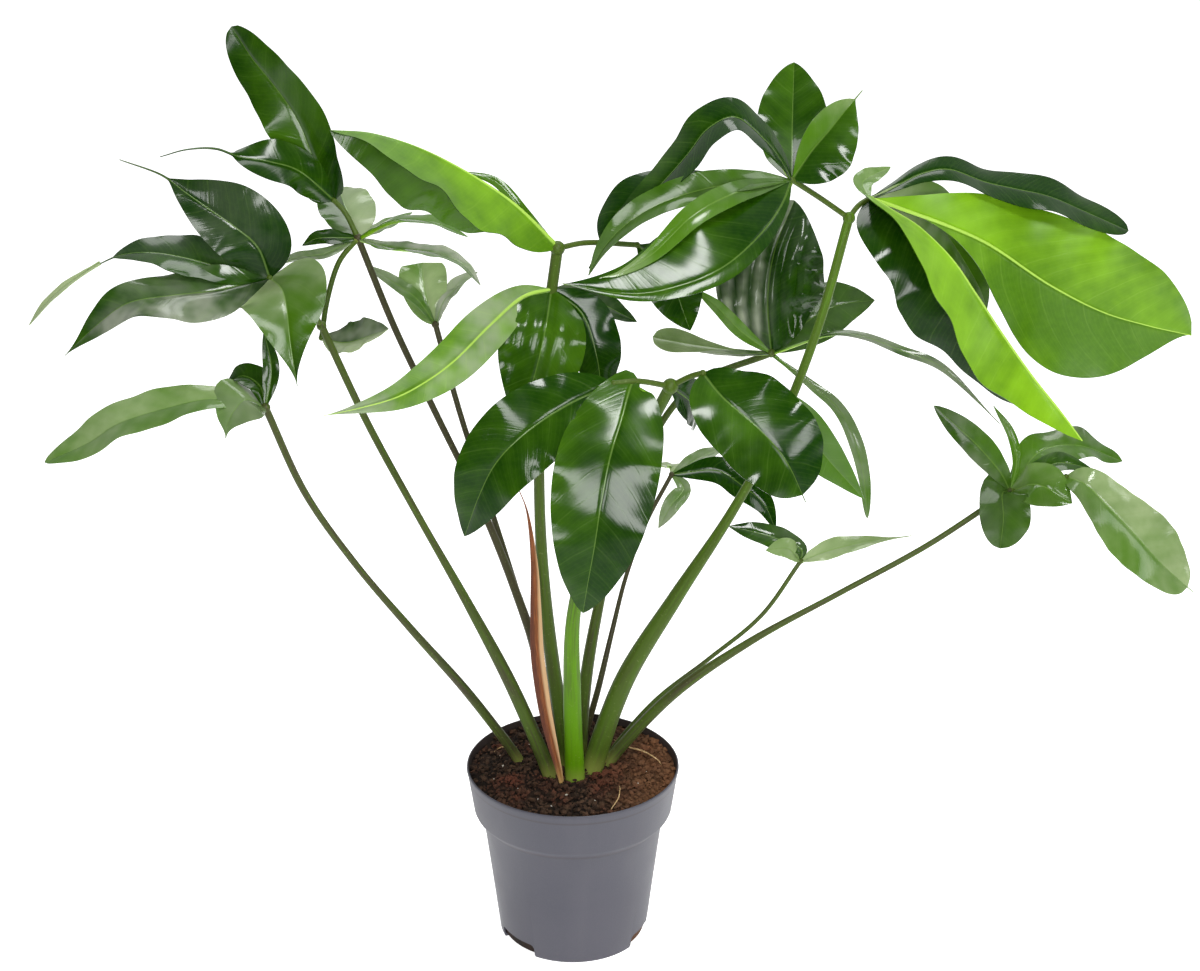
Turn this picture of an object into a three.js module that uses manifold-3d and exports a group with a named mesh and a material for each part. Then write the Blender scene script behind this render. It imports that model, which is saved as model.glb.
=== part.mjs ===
// A potted philodendron: eleven leaves on long petioles, each parted into narrow leaflets,
// with one dried sheath, standing in bark soil in a plain round nursery pot.
// Millimetres, +Z up. The origin is the centre of the pot's flat base, and the front is -Y.
import * as THREE from "three";
import { mergeVertices } from "three/addons/utils/BufferGeometryUtils.js";
import Module from "manifold-3d";

// Pot
const POT_HEIGHT = 168;
const POT_WALL = 1.8;
const POT_FLOOR = 3;
const RIM_RADIUS = 95;
const RIM_ROUNDING = 2;
const RIM_SLANT = 0.6;
const COLLAR_FOOT_RADIUS = 89;
const COLLAR_FOOT_HEIGHT = 126;
const BODY_TOP_RADIUS = 81;
const BODY_TOP_HEIGHT = 118;
const BASE_RADIUS = 67;
const BASE_ROUNDING = 3;
const POT_SIDES = 40;
const DRAIN_ANGLES = [100, 220, 340];
const DRAIN_WIDTH = 44;
const DRAIN_HEIGHT = 13;
const DRAIN_DEPTH = 11;

// Soil
const SOIL_HEIGHT = 163;
const SOIL_CROWN = 1.2;
const SOIL_BUMP = 1.8;
const SOIL_SIDES = 30;
const SOIL_RINGS = [0.97, 0.8, 0.62, 0.46, 0.28, 0.1];
const GAP = 0.6;

// Petioles and rachis arms
const BURIED = 20;
const HOLE_CLEARANCE = 0.6;
const HOLE_RISE = 5;
const FOOT_LAP = 0.5;
const SHEATH_HOLE = 5.5;
const PETIOLE_SIDES = 8;
const THIN_PETIOLE = 5.5;
const ARM_RADIUS = 2.3;
const ARM_STEPS = 4;
const ARM_SIDES = 6;
const FLARE = 0.1;
const FLARE_LENGTH = 0.1;
const TAPER_START = 0.1;
const TAPER_END = 0.6;
const EXTRA_STEPS = 4;
const KNOB_SHARE = 1.5;

// Leaflet blades
const BLADE_THICKNESS = 0.9;
const STALK_WIDTH = 3.2;
const TIP_WIDTH = 1.2;
const PLAIN_BLADE = {
  fold: 14,
  arch: 0.1,
  wave: 0.03,
  waves: 3,
  twist: 0,
  peak: 0.5,
  full: 1,
  uneven: 0,
  drip: 0,
};
const BLADE_RISE = 0.95;
const EDGE_SHIFT = 1.8;
const LONG_BLADE = 115;
const LONG_STEPS = 8;
const SHORT_STEPS = 4;
const NARROW_BLADE = 30;
const WIDE_LANES = 4;
const NARROW_LANES = 2;

// Each leaf: the petiole's route from the soil to its top, with the radius at foot and top,
// the arms that the petiole splits into, and the leaflets. A leaflet has the route of its
// midrib from base to tip, its width, and the way that its upper side faces at mid-length.
// Where it isn't a plain blade it also has its fold and twist in degrees, the peak where it
// is widest, how full its outline is, how uneven its halves are, the share of its length that
// is only a thin drip tip, and how its edge waves. A pair is the value of each half.
const LEAVES = [
  {
    name: "leaf_01_low_left",
    petiole: [[-50, 12, 166], [-92, -5, 241], [-138, -27, 314], [-182, -49, 387], [-219, -72, 463],
      [-245, -90, 545]],
    radius: [4.4, 3],
    arms: [],
    leaflets: [
      { midrib: [[-245, -90, 545], [-285, -95, 555], [-320, -100, 550], [-360, -110, 540],
        [-385, -115, 525], [-420, -120, 510]],
        width: 46, face: [0, -0.35, 1], peak: 0.58 },
      { midrib: [[-245, -90, 545], [-259, -100, 556], [-268, -108, 549], [-273, -112, 540],
        [-275, -114, 528]],
        width: 58, face: [-0.1, -0.4, 1], fold: 10, peak: 0.38, full: 1.2 },
      { midrib: [[-245, -90, 545], [-250, -80, 560], [-265, -70, 565], [-280, -65, 555]],
        width: 26, face: [0, -0.6, 1], fold: 30 },
      { midrib: [[-245, -90, 545], [-240, -80, 575], [-245, -75, 605]], width: 14, face: [0, -1, 0.3] },
    ],
  },
  {
    name: "leaf_02_mid_left",
    petiole: [[-21, -13, 166], [-53, -13, 252], [-91, -15, 336], [-131, -19, 420], [-170, -21, 504],
      [-205, -20, 590]],
    radius: [6.2, 3.1],
    arms: [
      [[-205, -20, 590], [-220, -40, 625], [-240, -60, 645]],
    ],
    leaflets: [
      { midrib: [[-240, -60, 645], [-248, -62, 671], [-264, -62, 687], [-286, -58, 702],
        [-304, -54, 714], [-324, -48, 727], [-357, -40, 737]],
        width: 60, face: [0, -1, 0.5], peak: 0.4, full: 0.8, uneven: 0.15, drip: 0.26, twist: 50 },
      { midrib: [[-240, -60, 645], [-275, -60, 653], [-307, -60, 662], [-334, -62, 667],
        [-359, -64, 665], [-384, -67, 654]],
        width: 48, face: [0, -0.4, 1], peak: 0.5, full: 0.9, drip: 0.15, twist: 25 },
      { midrib: [[-374, -66, 660], [-390, -68, 650], [-406, -71, 639], [-421, -73, 625],
        [-433, -74, 610]],
        width: 9, face: [0, -0.4, 1], peak: 0.55 },
      { midrib: [[-240, -60, 645], [-281, -82, 642], [-315, -92, 641], [-346, -100, 638],
        [-369, -106, 624], [-398, -112, 598]],
        width: 56, face: [0, -0.6, 1], peak: 0.4, uneven: -0.1, wave: 0.12, waves: 1.6 },
      { midrib: [[-240, -60, 645], [-229, -78, 642], [-224, -90, 631], [-221, -102, 607],
        [-216, -110, 571]],
        width: 76, face: [0, -1, 0.8], fold: 12, peak: 0.2, full: 0.45 },
    ],
  },
  {
    name: "leaf_03_high_left",
    petiole: [[-16, 20, 166], [-28, 24, 249], [-52, 30, 330], [-82, 39, 408], [-117, 47, 485],
      [-151, 55, 561], [-180, 60, 640]],
    radius: [4.6, 2.9],
    arms: [
      [[-180, 60, 640], [-190, 65, 660], [-200, 70, 670]],
      [[-180, 60, 640], [-195, 40, 625], [-205, 30, 595], [-210, 20, 565]],
    ],
    leaflets: [
      { midrib: [[-200, 70, 670], [-215, 76, 700], [-225, 80, 727], [-235, 84, 746],
        [-250, 92, 765], [-266, 100, 783], [-276, 106, 797], [-284, 110, 809]],
        width: 56, face: [-0.3, -0.95, 0.1], fold: 18, peak: 0.41, full: 0.35, wave: 0.05, waves: 2 },
      { midrib: [[-200, 70, 670], [-226, 60, 698], [-250, 52, 709], [-274, 46, 715],
        [-293, 42, 723], [-316, 36, 724], [-337, 28, 720]],
        width: 42, face: [0, -0.6, 0.8], peak: 0.52, full: 0.75, drip: 0.38, wave: 0.06, twist: 60 },
      { midrib: [[-180, 60, 640], [-186, 75, 649], [-195, 100, 660], [-202, 125, 665]],
        width: 50, face: [0, -0.3, 1], full: 0.6 },
      { midrib: [[-180, 60, 640], [-210, 45, 645], [-225, 40, 640]], width: 18, face: [0, -0.6, 1] },
      { midrib: [[-180, 60, 640], [-205, 35, 635], [-225, 10, 640], [-240, -10, 640]],
        width: 12, face: [0, -0.8, 1] },
      { midrib: [[-180, 60, 640], [-150, 52, 657], [-118, 42, 660], [-86, 36, 649]],
        width: 30, face: [0, 0.1, 1] },
      { midrib: [[-180, 60, 640], [-150, 40, 638], [-116, 28, 638], [-90, 20, 630], [-75, 14, 614]],
        width: 36, face: [0, 0.1, 1] },
      { midrib: [[-180, 60, 640], [-163, 85, 641], [-137, 105, 649]], width: 22, face: [0, 0.1, 1] },
      { midrib: [[-210, 20, 565], [-187, 12, 564], [-152, 4, 579]],
        width: 46, face: [0, -0.35, 1], fold: 20 },
    ],
  },
  {
    name: "leaf_04_young_left",
    petiole: [[-14, 36, 166], [-31, 42, 244], [-52, 51, 322], [-75, 65, 398], [-99, 85, 472],
      [-120, 110, 545]],
    radius: [3.6, 2.6],
    arms: [],
    leaflets: [
      { midrib: [[-120, 110, 545], [-135, 110, 568], [-154, 110, 583], [-179, 104, 602]],
        width: 14, face: [0, -0.6, 0.8] },
      { midrib: [[-120, 110, 545], [-126, 114, 562], [-130, 124, 577], [-132, 134, 594]],
        width: 44, face: [0, -1, 0.3], peak: 0.76, full: 0.6 },
      { midrib: [[-120, 110, 545], [-112, 105, 568], [-98, 100, 584]], width: 9, face: [0, -0.8, 0.8] },
      { midrib: [[-120, 110, 545], [-112, 118, 565], [-97, 124, 581], [-83, 126, 588]],
        width: 20, face: [0, -0.1, 1] },
    ],
  },
  {
    name: "leaf_05_high_middle",
    petiole: [[-4, 4, 166], [-17, 0, 265], [-25, -9, 363], [-27, -19, 462], [-23, -27, 560],
      [-10, -30, 660]],
    radius: [6.6, 4.6],
    arms: [
      [[-10, -30, 660], [15, -15, 660], [55, 10, 650]],
    ],
    leaflets: [
      { midrib: [[-10, -30, 660], [-50, -45, 705], [-105, -60, 745], [-150, -70, 765],
        [-185, -75, 770]],
        width: 106, face: [-0.1, -0.45, -0.9], fold: 55, full: 0.85, twist: 50 },
      { midrib: [[-15, -30, 625], [-39, -45, 623], [-64, -75, 610], [-91, -98, 589],
        [-114, -110, 575], [-138, -114, 563], [-168, -117, 555], [-195, -120, 550]],
        width: 38, face: [0, 1, -0.2], fold: 8, peak: 0.4 },
      { midrib: [[-15, -30, 625], [-20, -60, 600], [-30, -70, 560], [-45, -75, 520]],
        width: 72, face: [0.1, -1, 0.5], peak: 0.42, full: 0.9 },
      { midrib: [[-15, -30, 625], [10, -34, 605], [22, -42, 570], [26, -44, 535]],
        width: 46, face: [0.3, -1, 0.2] },
      { midrib: [[-15, -30, 625], [20, -15, 610], [55, -10, 590]], width: 28, face: [0, -0.7, 1] },
      { midrib: [[55, 10, 650], [80, 15, 625], [100, 10, 575]], width: 48, face: [0, -1, 0.5] },
      { midrib: [[-10, -30, 660], [-35, 5, 675], [-60, 20, 700], [-90, 20, 710]],
        width: 11, face: [0, -0.5, 1] },
    ],
  },
  {
    name: "leaf_06_front",
    petiole: [[2, -17, 166], [0, -26, 252], [2, -45, 338], [18, -70, 420], [48, -96, 498],
      [80, -120, 575]],
    radius: [8.2, 4.8],
    arms: [
      [[80, -120, 575], [55, -135, 585], [35, -140, 585]],
      [[80, -120, 575], [95, -125, 585], [105, -130, 590]],
    ],
    leaflets: [
      { midrib: [[35, -140, 585], [0, -154, 573], [-32, -166, 555], [-56, -170, 531],
        [-71, -168, 500], [-83, -160, 463]],
        width: 66, face: [0.1, -1, 0.65], peak: 0.45, full: 0.75 },
      { midrib: [[55, -135, 585], [49, -140, 584], [41, -162, 563], [32, -182, 539],
        [25, -197, 506], [20, -203, 473], [15, -203, 443], [11, -198, 414]],
        width: 82, face: [0, -1, 0.5], fold: 4, peak: 0.42, full: 0.6, arch: 0.06 },
      { midrib: [[105, -130, 590], [121, -146, 575], [147, -160, 556], [169, -168, 532],
        [186, -168, 496]],
        width: 80, face: [0.1, -1, 0.74], peak: 0.52, full: 0.58, drip: 0.06 },
      { midrib: [[80, -120, 575], [100, -100, 550], [100, -90, 525]], width: 38, face: [0, -0.8, 0.8] },
      { midrib: [[105, -130, 590], [170, -110, 550], [215, -95, 495], [240, -90, 465]],
        width: 40, face: [-0.2, -1, 0] },
    ],
  },
  {
    name: "leaf_07_high_right",
    petiole: [[18, -2, 166], [46, -5, 254], [90, -4, 334], [137, -1, 413], [178, 5, 495],
      [208, 12, 581], [230, 20, 670]],
    radius: [9, 3.9],
    arms: [
      [[230, 20, 670], [205, 10, 690], [180, -5, 710]],
      [[230, 20, 670], [238, 28, 678], [248, 36, 682]],
    ],
    leaflets: [
      { midrib: [[180, -5, 710], [183, 45, 729], [185, 75, 755], [187, 100, 781]],
        width: 62, face: [0, -1, 0.3], peak: 0.5, full: 0.8 },
      { midrib: [[180, -5, 710], [196, 5, 731], [211, 12, 747], [224, 18, 762], [237, 22, 777]],
        width: 52, face: [0.2, -1, 0.3], fold: 24, peak: [0.6, 0.4], full: [1.2, 0.7], uneven: 0.28,
        drip: 0.1 },
      { midrib: [[180, -5, 710], [169, -10, 730], [155, -20, 749], [132, -26, 768], [110, -28, 759],
        [93, -26, 736], [66, -22, 703], [40, -20, 674], [15, -18, 639]],
        width: 42, face: [-0.3, -0.5, 0.9], peak: 0.42, full: 0.7 },
      { midrib: [[180, -5, 710], [148, 20, 697], [114, 34, 692], [81, 40, 691], [54, 36, 684],
        [35, 30, 667], [26, 20, 648]],
        width: 42, face: [0, -0.5, 1], peak: 0.68, full: 1.6 },
      { midrib: [[180, -5, 710], [138, -36, 717], [104, -44, 713], [72, -48, 703], [47, -50, 688],
        [28, -50, 668], [15, -48, 643]],
        width: 30, face: [0, -0.7, 0.8], fold: 30 },
      { midrib: [[180, -5, 710], [169, -30, 694], [149, -60, 678], [121, -85, 662], [87, -100, 652],
        [48, -108, 648], [-5, -110, 657]],
        width: 66, face: [0, -1, 0.7], fold: 6, peak: 0.42, uneven: 0.65, arch: 0.12 },
      { midrib: [[180, -5, 710], [153, -30, 712], [129, -55, 713], [98, -75, 702], [67, -90, 676],
        [42, -100, 663], [24, -105, 660]],
        width: 20, face: [0, -1, 0.4], peak: 0.45 },
      { midrib: [[248, 36, 682], [245, 60, 690], [270, 85, 695]], width: 19, face: [0, -0.6, 1] },
      { midrib: [[248, 36, 682], [270, 50, 688], [293, 58, 697], [317, 64, 699], [348, 68, 687],
        [374, 68, 681], [403, 65, 675], [433, 61, 663], [470, 58, 647]],
        width: 43, face: [0.22, -0.4, 0.9], fold: 8, peak: 0.68, full: 1.1, wave: 0.05 },
      { midrib: [[248, 36, 682], [295, 65, 670], [325, 80, 630], [350, 85, 590], [360, 90, 565]],
        width: 46, face: [0.4, -1, 0.4] },
      { midrib: [[248, 36, 682], [278, 40, 670], [312, 38, 658], [350, 36, 641], [400, 30, 609],
        [445, 24, 587], [485, 19, 576], [521, 15, 569]],
        width: 126, face: [-0.2, 0.88, -0.42], fold: 8, peak: [0.68, 0.66], full: [4, 1.2], twist: 24 },
      { midrib: [[248, 36, 682], [264, 10, 678], [285, -8, 669], [310, -20, 647], [331, -30, 619],
        [354, -40, 587], [378, -50, 556], [402, -57, 528], [421, -60, 504]],
        width: 116, face: [-0.81, -0.38, -0.46], fold: 64, peak: 0.41, full: 0.72, uneven: 0.07,
        twist: 95 },
    ],
  },
  {
    name: "leaf_08_small_back",
    petiole: [[10, 48, 166], [23, 51, 217], [35, 68, 264], [48, 94, 308], [66, 123, 348],
      [90, 150, 385]],
    radius: [3, 2],
    arms: [],
    leaflets: [
      { midrib: [[90, 150, 385], [130, 148, 390], [154, 142, 378], [175, 138, 360], [186, 134, 336]],
        width: 30, face: [0, -0.7, 0.8] },
      { midrib: [[90, 150, 385], [101, 142, 375], [90, 138, 360], [78, 134, 338]],
        width: 17, face: [0, -1, 0.4] },
      { midrib: [[90, 150, 385], [115, 165, 395], [140, 180, 400]], width: 16, face: [0, -0.6, 1] },
      { midrib: [[90, 150, 385], [96, 165, 385], [69, 180, 383]], width: 28, face: [0, 0.3, 1] },
    ],
  },
  {
    name: "leaf_09_far_right",
    petiole: [[34, 10, 166], [89, 9, 232], [158, 12, 284], [234, 17, 328], [310, 24, 371],
      [380, 30, 420]],
    radius: [5, 2.6],
    arms: [
      [[380, 30, 420], [405, 20, 430], [425, 15, 440]],
    ],
    leaflets: [
      { midrib: [[380, 30, 420], [370, 25, 440], [348, 20, 467], [327, 16, 488], [308, 14, 506]],
        width: 26, face: [-0.2, -0.8, 0.8], full: 0.8 },
      { midrib: [[380, 30, 420], [371, 14, 424], [372, 6, 405], [370, 0, 379]],
        width: 52, face: [0, -1, 0.4], fold: 32, full: 0.65 },
      { midrib: [[380, 30, 420], [405, 45, 450], [440, 50, 455], [480, 50, 440]],
        width: 38, face: [0, -0.45, 1], full: 0.8, wave: 0.1 },
      { midrib: [[380, 30, 420], [415, 25, 448], [447, 20, 446]], width: 24, face: [0, -0.4, 1] },
      { midrib: [[380, 30, 420], [400, 10, 435], [428, -5, 424]], width: 42, face: [0, -0.9, 0.8] },
      { midrib: [[425, 15, 440], [439, 2, 439], [459, -6, 421], [482, -12, 398], [507, -18, 372],
        [535, -22, 348]],
        width: 58, face: [0.2, -0.9, 0.8], peak: 0.58, full: 0.6, drip: 0.05, wave: 0.09, waves: 1.5 },
      { midrib: [[380, 30, 420], [386, 40, 443], [381, 48, 466], [365, 52, 491]],
        width: 9, face: [0.3, -1, 0.2] },
    ],
  },
  {
    name: "leaf_10_small_right",
    petiole: [[36, 28, 166], [75, 40, 210], [123, 52, 246], [170, 65, 283], [205, 80, 330]],
    radius: [2.4, 2],
    arms: [],
    leaflets: [
      { midrib: [[205, 80, 330], [204, 80, 343], [177, 88, 351], [140, 90, 360]],
        width: 24, face: [0, -0.7, 1] },
      { midrib: [[205, 80, 330], [192, 68, 348], [172, 60, 350]], width: 20, face: [0, -0.8, 0.8] },
      { midrib: [[205, 80, 330], [231, 80, 341], [264, 76, 351], [303, 74, 358]],
        width: 25, face: [0, -0.4, 1], peak: 0.3 },
    ],
  },
  {
    name: "leaf_11_back_right",
    petiole: [[6, 24, 166], [12, 32, 238], [24, 44, 307], [41, 60, 377], [66, 76, 442],
      [107, 91, 495], [175, 105, 520]],
    radius: [5.8, 3],
    arms: [],
    leaflets: [
      { midrib: [[175, 105, 520], [171, 110, 568], [177, 125, 608], [194, 140, 649]],
        width: 98, face: [0, -1, 0.2], full: 0.8, wave: 0.09 },
      { midrib: [[175, 105, 520], [148, 90, 545], [126, 80, 571], [105, 70, 592]],
        width: 14, face: [0.4, -1, 0.4] },
      { midrib: [[175, 105, 520], [207, 130, 540], [235, 135, 554], [268, 140, 557]],
        width: 52, face: [0, -0.9, 0.6] },
      { midrib: [[175, 105, 520], [222, 95, 541], [253, 90, 541], [286, 85, 530], [325, 80, 514],
        [375, 75, 465]],
        width: 11, face: [0, -0.6, 1], peak: 0.4, twist: 120 },
      { midrib: [[175, 105, 520], [211, 90, 495], [233, 80, 478], [247, 70, 454], [257, 64, 418],
        [261, 60, 381]],
        width: 14, face: [0.5, -1, 0.3], peak: 0.62 },
      { midrib: [[175, 105, 520], [142, 85, 527], [111, 70, 534]], width: 10, face: [0, -0.3, 1] },
      { midrib: [[175, 105, 520], [143, 110, 521], [113, 122, 521], [71, 130, 526]],
        width: 24, face: [0, -0.8, 0.8], peak: 0.84, full: 3.2 },
    ],
  },
];

// The dried sheath, a thin brown strip that once wrapped a young leaf
const SHEATH = {
  midrib: [[-10, -29, 148], [-10, -29, 166], [-20, -26, 215], [-25, -25, 245], [-30, -24, 290],
    [-31, -21, 330], [-32, -20, 375], [-37, -20, 420], [-45, -20, 445]],
  width: 13, face: [0, -1, 0.2], fold: 25, wave: 0, peak: 0.4,
};

const wasm = await Module();
wasm.setup();

// Closed skin over a row of rings with equal numbers of points
function loft(rings) {
  const count = rings[0].length;
  const points = rings.flat();
  const faces = [];
  const at = (ring, i) => ring * count + (i % count);
  for (let ring = 0; ring + 1 < rings.length; ring += 1) {
    for (let i = 0; i < count; i += 1) {
      const [a, b, c, d] = [at(ring, i), at(ring, i + 1), at(ring + 1, i + 1), at(ring + 1, i)];
      // Both sides of a blade are split along the same diagonal
      if (i < count / 2) faces.push([a, b, c], [a, c, d]);
      else faces.push([a, b, d], [b, c, d]);
    }
  }
  const last = rings.length - 1;
  for (let i = 0; i + 1 < count / 2; i += 1) {
    const j = count - 1 - i;
    faces.push([at(0, i), at(0, j), at(0, i + 1)], [at(0, i + 1), at(0, j), at(0, j - 1)]);
    faces.push([at(last, i), at(last, i + 1), at(last, j)]);
    faces.push([at(last, i + 1), at(last, j - 1), at(last, j)]);
  }
  return closedMesh(points, faces);
}

// Geometry from points and triangles, turned so that its faces point out
function closedMesh(points, faces) {
  let volume = 0;
  for (const [a, b, c] of faces) {
    volume += points[a].dot(new THREE.Vector3().crossVectors(points[b], points[c]));
  }
  const outward = volume > 0 ? faces : faces.map(([a, b, c]) => [a, c, b]);
  const geometry = new THREE.BufferGeometry().setFromPoints(points);
  geometry.setIndex(outward.flat());
  return geometry;
}

// Solid from a closed geometry, for joining and cutting
function solid(geometry) {
  const bare = geometry.clone();
  bare.deleteAttribute("normal");
  bare.deleteAttribute("uv");
  const merged = mergeVertices(bare, 1e-4);
  const vertProperties = Float32Array.from(merged.attributes.position.array);
  const triVerts = Uint32Array.from(merged.index.array);
  return new wasm.Manifold(new wasm.Mesh({ numProp: 3, vertProperties, triVerts }));
}

function geometryOf(body) {
  const { vertProperties, triVerts } = body.getMesh();
  const geometry = new THREE.BufferGeometry();
  geometry.setAttribute("position", new THREE.BufferAttribute(Float32Array.from(vertProperties), 3));
  geometry.setIndex(new THREE.BufferAttribute(Uint32Array.from(triVerts), 1));
  geometry.computeVertexNormals();
  return geometry;
}

function route(points) {
  return new THREE.CatmullRomCurve3(points.map((p) => new THREE.Vector3(...p)), false, "catmullrom", 0.5);
}

// Round stem along a route, its radius given by a rule of the way along
function stem(points, radiusAt, sides, steps) {
  const curve = route(points);
  const { normals, binormals } = curve.computeFrenetFrames(steps, false);
  const rings = [];
  for (let k = 0; k <= steps; k += 1) {
    const centre = curve.getPointAt(k / steps);
    const radius = radiusAt(k / steps);
    const ring = [];
    for (let i = 0; i < sides; i += 1) {
      const turn = (2 * Math.PI * i) / sides;
      ring.push(centre.clone()
        .addScaledVector(normals[k], radius * Math.cos(turn))
        .addScaledVector(binormals[k], radius * Math.sin(turn)));
    }
    rings.push(ring);
  }
  return loft(rings);
}

// Side directions of a blade along its midrib, without twist of their own,
// so that the upper side faces the given way at mid-length
function bladeFrames(curve, face, twist, steps) {
  const tangents = [];
  for (let k = 0; k <= steps; k += 1) tangents.push(curve.getTangentAt(k / steps));
  const middle = Math.round(steps / 2);
  const normals = new Array(steps + 1);
  normals[middle] = across(new THREE.Vector3(...face), tangents[middle]);
  for (let k = middle + 1; k <= steps; k += 1) normals[k] = across(normals[k - 1], tangents[k]);
  for (let k = middle - 1; k >= 0; k -= 1) normals[k] = across(normals[k + 1], tangents[k]);
  return tangents.map((tangent, k) => {
    const turn = THREE.MathUtils.degToRad(twist * (k / steps - 0.5));
    const up = normals[k].clone().applyAxisAngle(tangent, turn);
    return { up, side: new THREE.Vector3().crossVectors(tangent, up) };
  });
}

function across(direction, tangent) {
  return direction.clone().addScaledVector(tangent, -direction.dot(tangent)).normalize();
}

// Half-width of a leaflet along its length, widest at the peak and drawn out at the tip
function halfWidth(along, width, peak, full, drip) {
  const rise = BLADE_RISE * full;
  const fall = (rise * (1 - peak)) / peak;
  const greatest = peak ** rise * (1 - peak) ** fall;
  const body = Math.min(along / (1 - drip), 1);
  const outline = (body ** rise * (1 - body) ** fall) / greatest;
  const least = THREE.MathUtils.lerp(STALK_WIDTH, TIP_WIDTH, along);
  return Math.max(width * outline, Math.min(least, width)) / 2;
}

// The value of one half of a leaflet, where the two halves can have their own
function ofHalf(value, s) {
  return Array.isArray(value) ? value[s < 0 ? 0 : 1] : value;
}

// Thin folded and waved blade on its midrib
function blade(leaflet) {
  const { midrib, width, face, fold, arch, wave, waves, twist, peak, full, uneven, drip } = {
    ...PLAIN_BLADE,
    ...leaflet,
  };
  const curve = route(midrib);
  const steps = curve.getLength() > LONG_BLADE ? LONG_STEPS : SHORT_STEPS;
  const lanes = width < NARROW_BLADE ? NARROW_LANES : WIDE_LANES;
  const frames = bladeFrames(curve, face, twist, steps);
  const slope = Math.tan(THREE.MathUtils.degToRad(fold));
  // The upper side, row by row from the base, each row from one edge over the midrib to the other
  const grid = frames.map(({ up, side }, k) => {
    const along = k / steps;
    const row = [];
    for (let i = 0; i <= lanes; i += 1) {
      const s = (2 * i) / lanes - 1;
      const outline = halfWidth(along, width, ofHalf(peak, s), ofHalf(full, s), drip);
      const half = outline * (1 + uneven * Math.sign(s));
      const flat = half * Math.cos(THREE.MathUtils.degToRad(fold));
      const swing = Math.sin(2 * Math.PI * waves * along + (s < 0 ? EDGE_SHIFT : 0));
      const height = flat * Math.abs(s) * slope + half * s * s * (2 * wave * swing - arch);
      row.push(curve.getPointAt(along).addScaledVector(side, flat * s).addScaledVector(up, height));
    }
    return row;
  });
  const rings = grid.map((row, k) => {
    const under = row.map((point, i) => {
      return point.clone().addScaledVector(gridNormal(grid, k, i, frames[k].up), -BLADE_THICKNESS);
    });
    return [...row, ...under.reverse()];
  });
  return loft(rings);
}

// Direction square to a grid of points at one of them, on the side that up points to
function gridNormal(grid, k, i, up) {
  const row = grid[k];
  const before = grid[Math.max(k - 1, 0)][i];
  const after = grid[Math.min(k + 1, grid.length - 1)][i];
  const left = row[Math.max(i - 1, 0)];
  const right = row[Math.min(i + 1, row.length - 1)];
  const normal = after.clone().sub(before).cross(right.clone().sub(left)).normalize();
  return normal.dot(up) < 0 ? normal.negate() : normal;
}

// Radius of a petiole along its length: flared at the foot, then slimmer until a little past the middle
function petioleRadius([atFoot, atTop]) {
  return (along) => {
    const flare = 1 + FLARE * Math.max(0, 1 - along / FLARE_LENGTH);
    const slim = THREE.MathUtils.smoothstep(along, TAPER_START, TAPER_END);
    return THREE.MathUtils.lerp(atFoot, atTop, slim) * flare;
  };
}

// Upright round peg through a point
function peg([x, y, z], radius, below, above) {
  const round = new THREE.CylinderGeometry(radius, radius, below + above, PETIOLE_SIDES);
  round.rotateX(Math.PI / 2);
  round.translate(x, y, z + (above - below) / 2);
  return solid(round);
}

// Plain round hole that a stem's foot stands in
function hole(top, radius) {
  return peg(top, radius, BURIED + HOLE_CLEARANCE, HOLE_RISE);
}

// One leaf: petiole, knob, arms and leaflets joined in one body
function leaf({ petiole, radius, arms, leaflets }) {
  const steps = petiole.length + EXTRA_STEPS;
  const sides = radius[0] < THIN_PETIOLE ? ARM_SIDES : PETIOLE_SIDES;
  let body = solid(stem(petiole, petioleRadius(radius), sides, steps));
  body = body.add(peg(petiole[0], radius[0] * (1 + FLARE), BURIED, FOOT_LAP));
  const knob = new THREE.IcosahedronGeometry(radius[1] * KNOB_SHARE);
  knob.translate(...petiole[petiole.length - 1]);
  body = body.add(solid(knob));
  for (const arm of arms) {
    body = body.add(solid(stem(arm, () => ARM_RADIUS, ARM_SIDES, ARM_STEPS)));
  }
  for (const leaflet of leaflets) body = body.add(solid(blade(leaflet)));
  return geometryOf(body);
}

// Pot profile, from the centre of the base out, up the outside and down the inside
function potGeometry() {
  const outside = [
    [0, 0], [BASE_RADIUS - BASE_ROUNDING, 0], [BASE_RADIUS, BASE_ROUNDING],
    [BODY_TOP_RADIUS, BODY_TOP_HEIGHT], [COLLAR_FOOT_RADIUS, COLLAR_FOOT_HEIGHT],
    [RIM_RADIUS, POT_HEIGHT - RIM_ROUNDING],
    [RIM_RADIUS - RIM_SLANT, POT_HEIGHT], [RIM_RADIUS - POT_WALL, POT_HEIGHT],
  ];
  const profile = [...outside, ...insideWall(POT_WALL, POT_FLOOR).reverse()];
  const lathe = new THREE.LatheGeometry(profile.map(([r, z]) => new THREE.Vector2(r, z)), POT_SIDES);
  lathe.rotateX(Math.PI / 2);
  let body = solid(lathe);
  for (const angle of DRAIN_ANGLES) body = body.subtract(solid(drainCut(angle)));
  return geometryOf(body);
}

// Inside of the pot as radius and height, a given way in from the outside wall and up from the base
function insideWall(inset, floor) {
  return [
    [0, floor], [BASE_RADIUS - inset, floor], [BODY_TOP_RADIUS - inset, BODY_TOP_HEIGHT + inset],
    [COLLAR_FOOT_RADIUS - inset, COLLAR_FOOT_HEIGHT + inset],
    [RIM_RADIUS - inset, POT_HEIGHT - RIM_ROUNDING],
  ];
}

function drainCut(angle) {
  const box = new THREE.BoxGeometry(DRAIN_DEPTH * 2, DRAIN_WIDTH, DRAIN_HEIGHT * 2);
  box.translate(BASE_RADIUS, 0, 0);
  box.rotateZ(THREE.MathUtils.degToRad(angle));
  return box;
}

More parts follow.
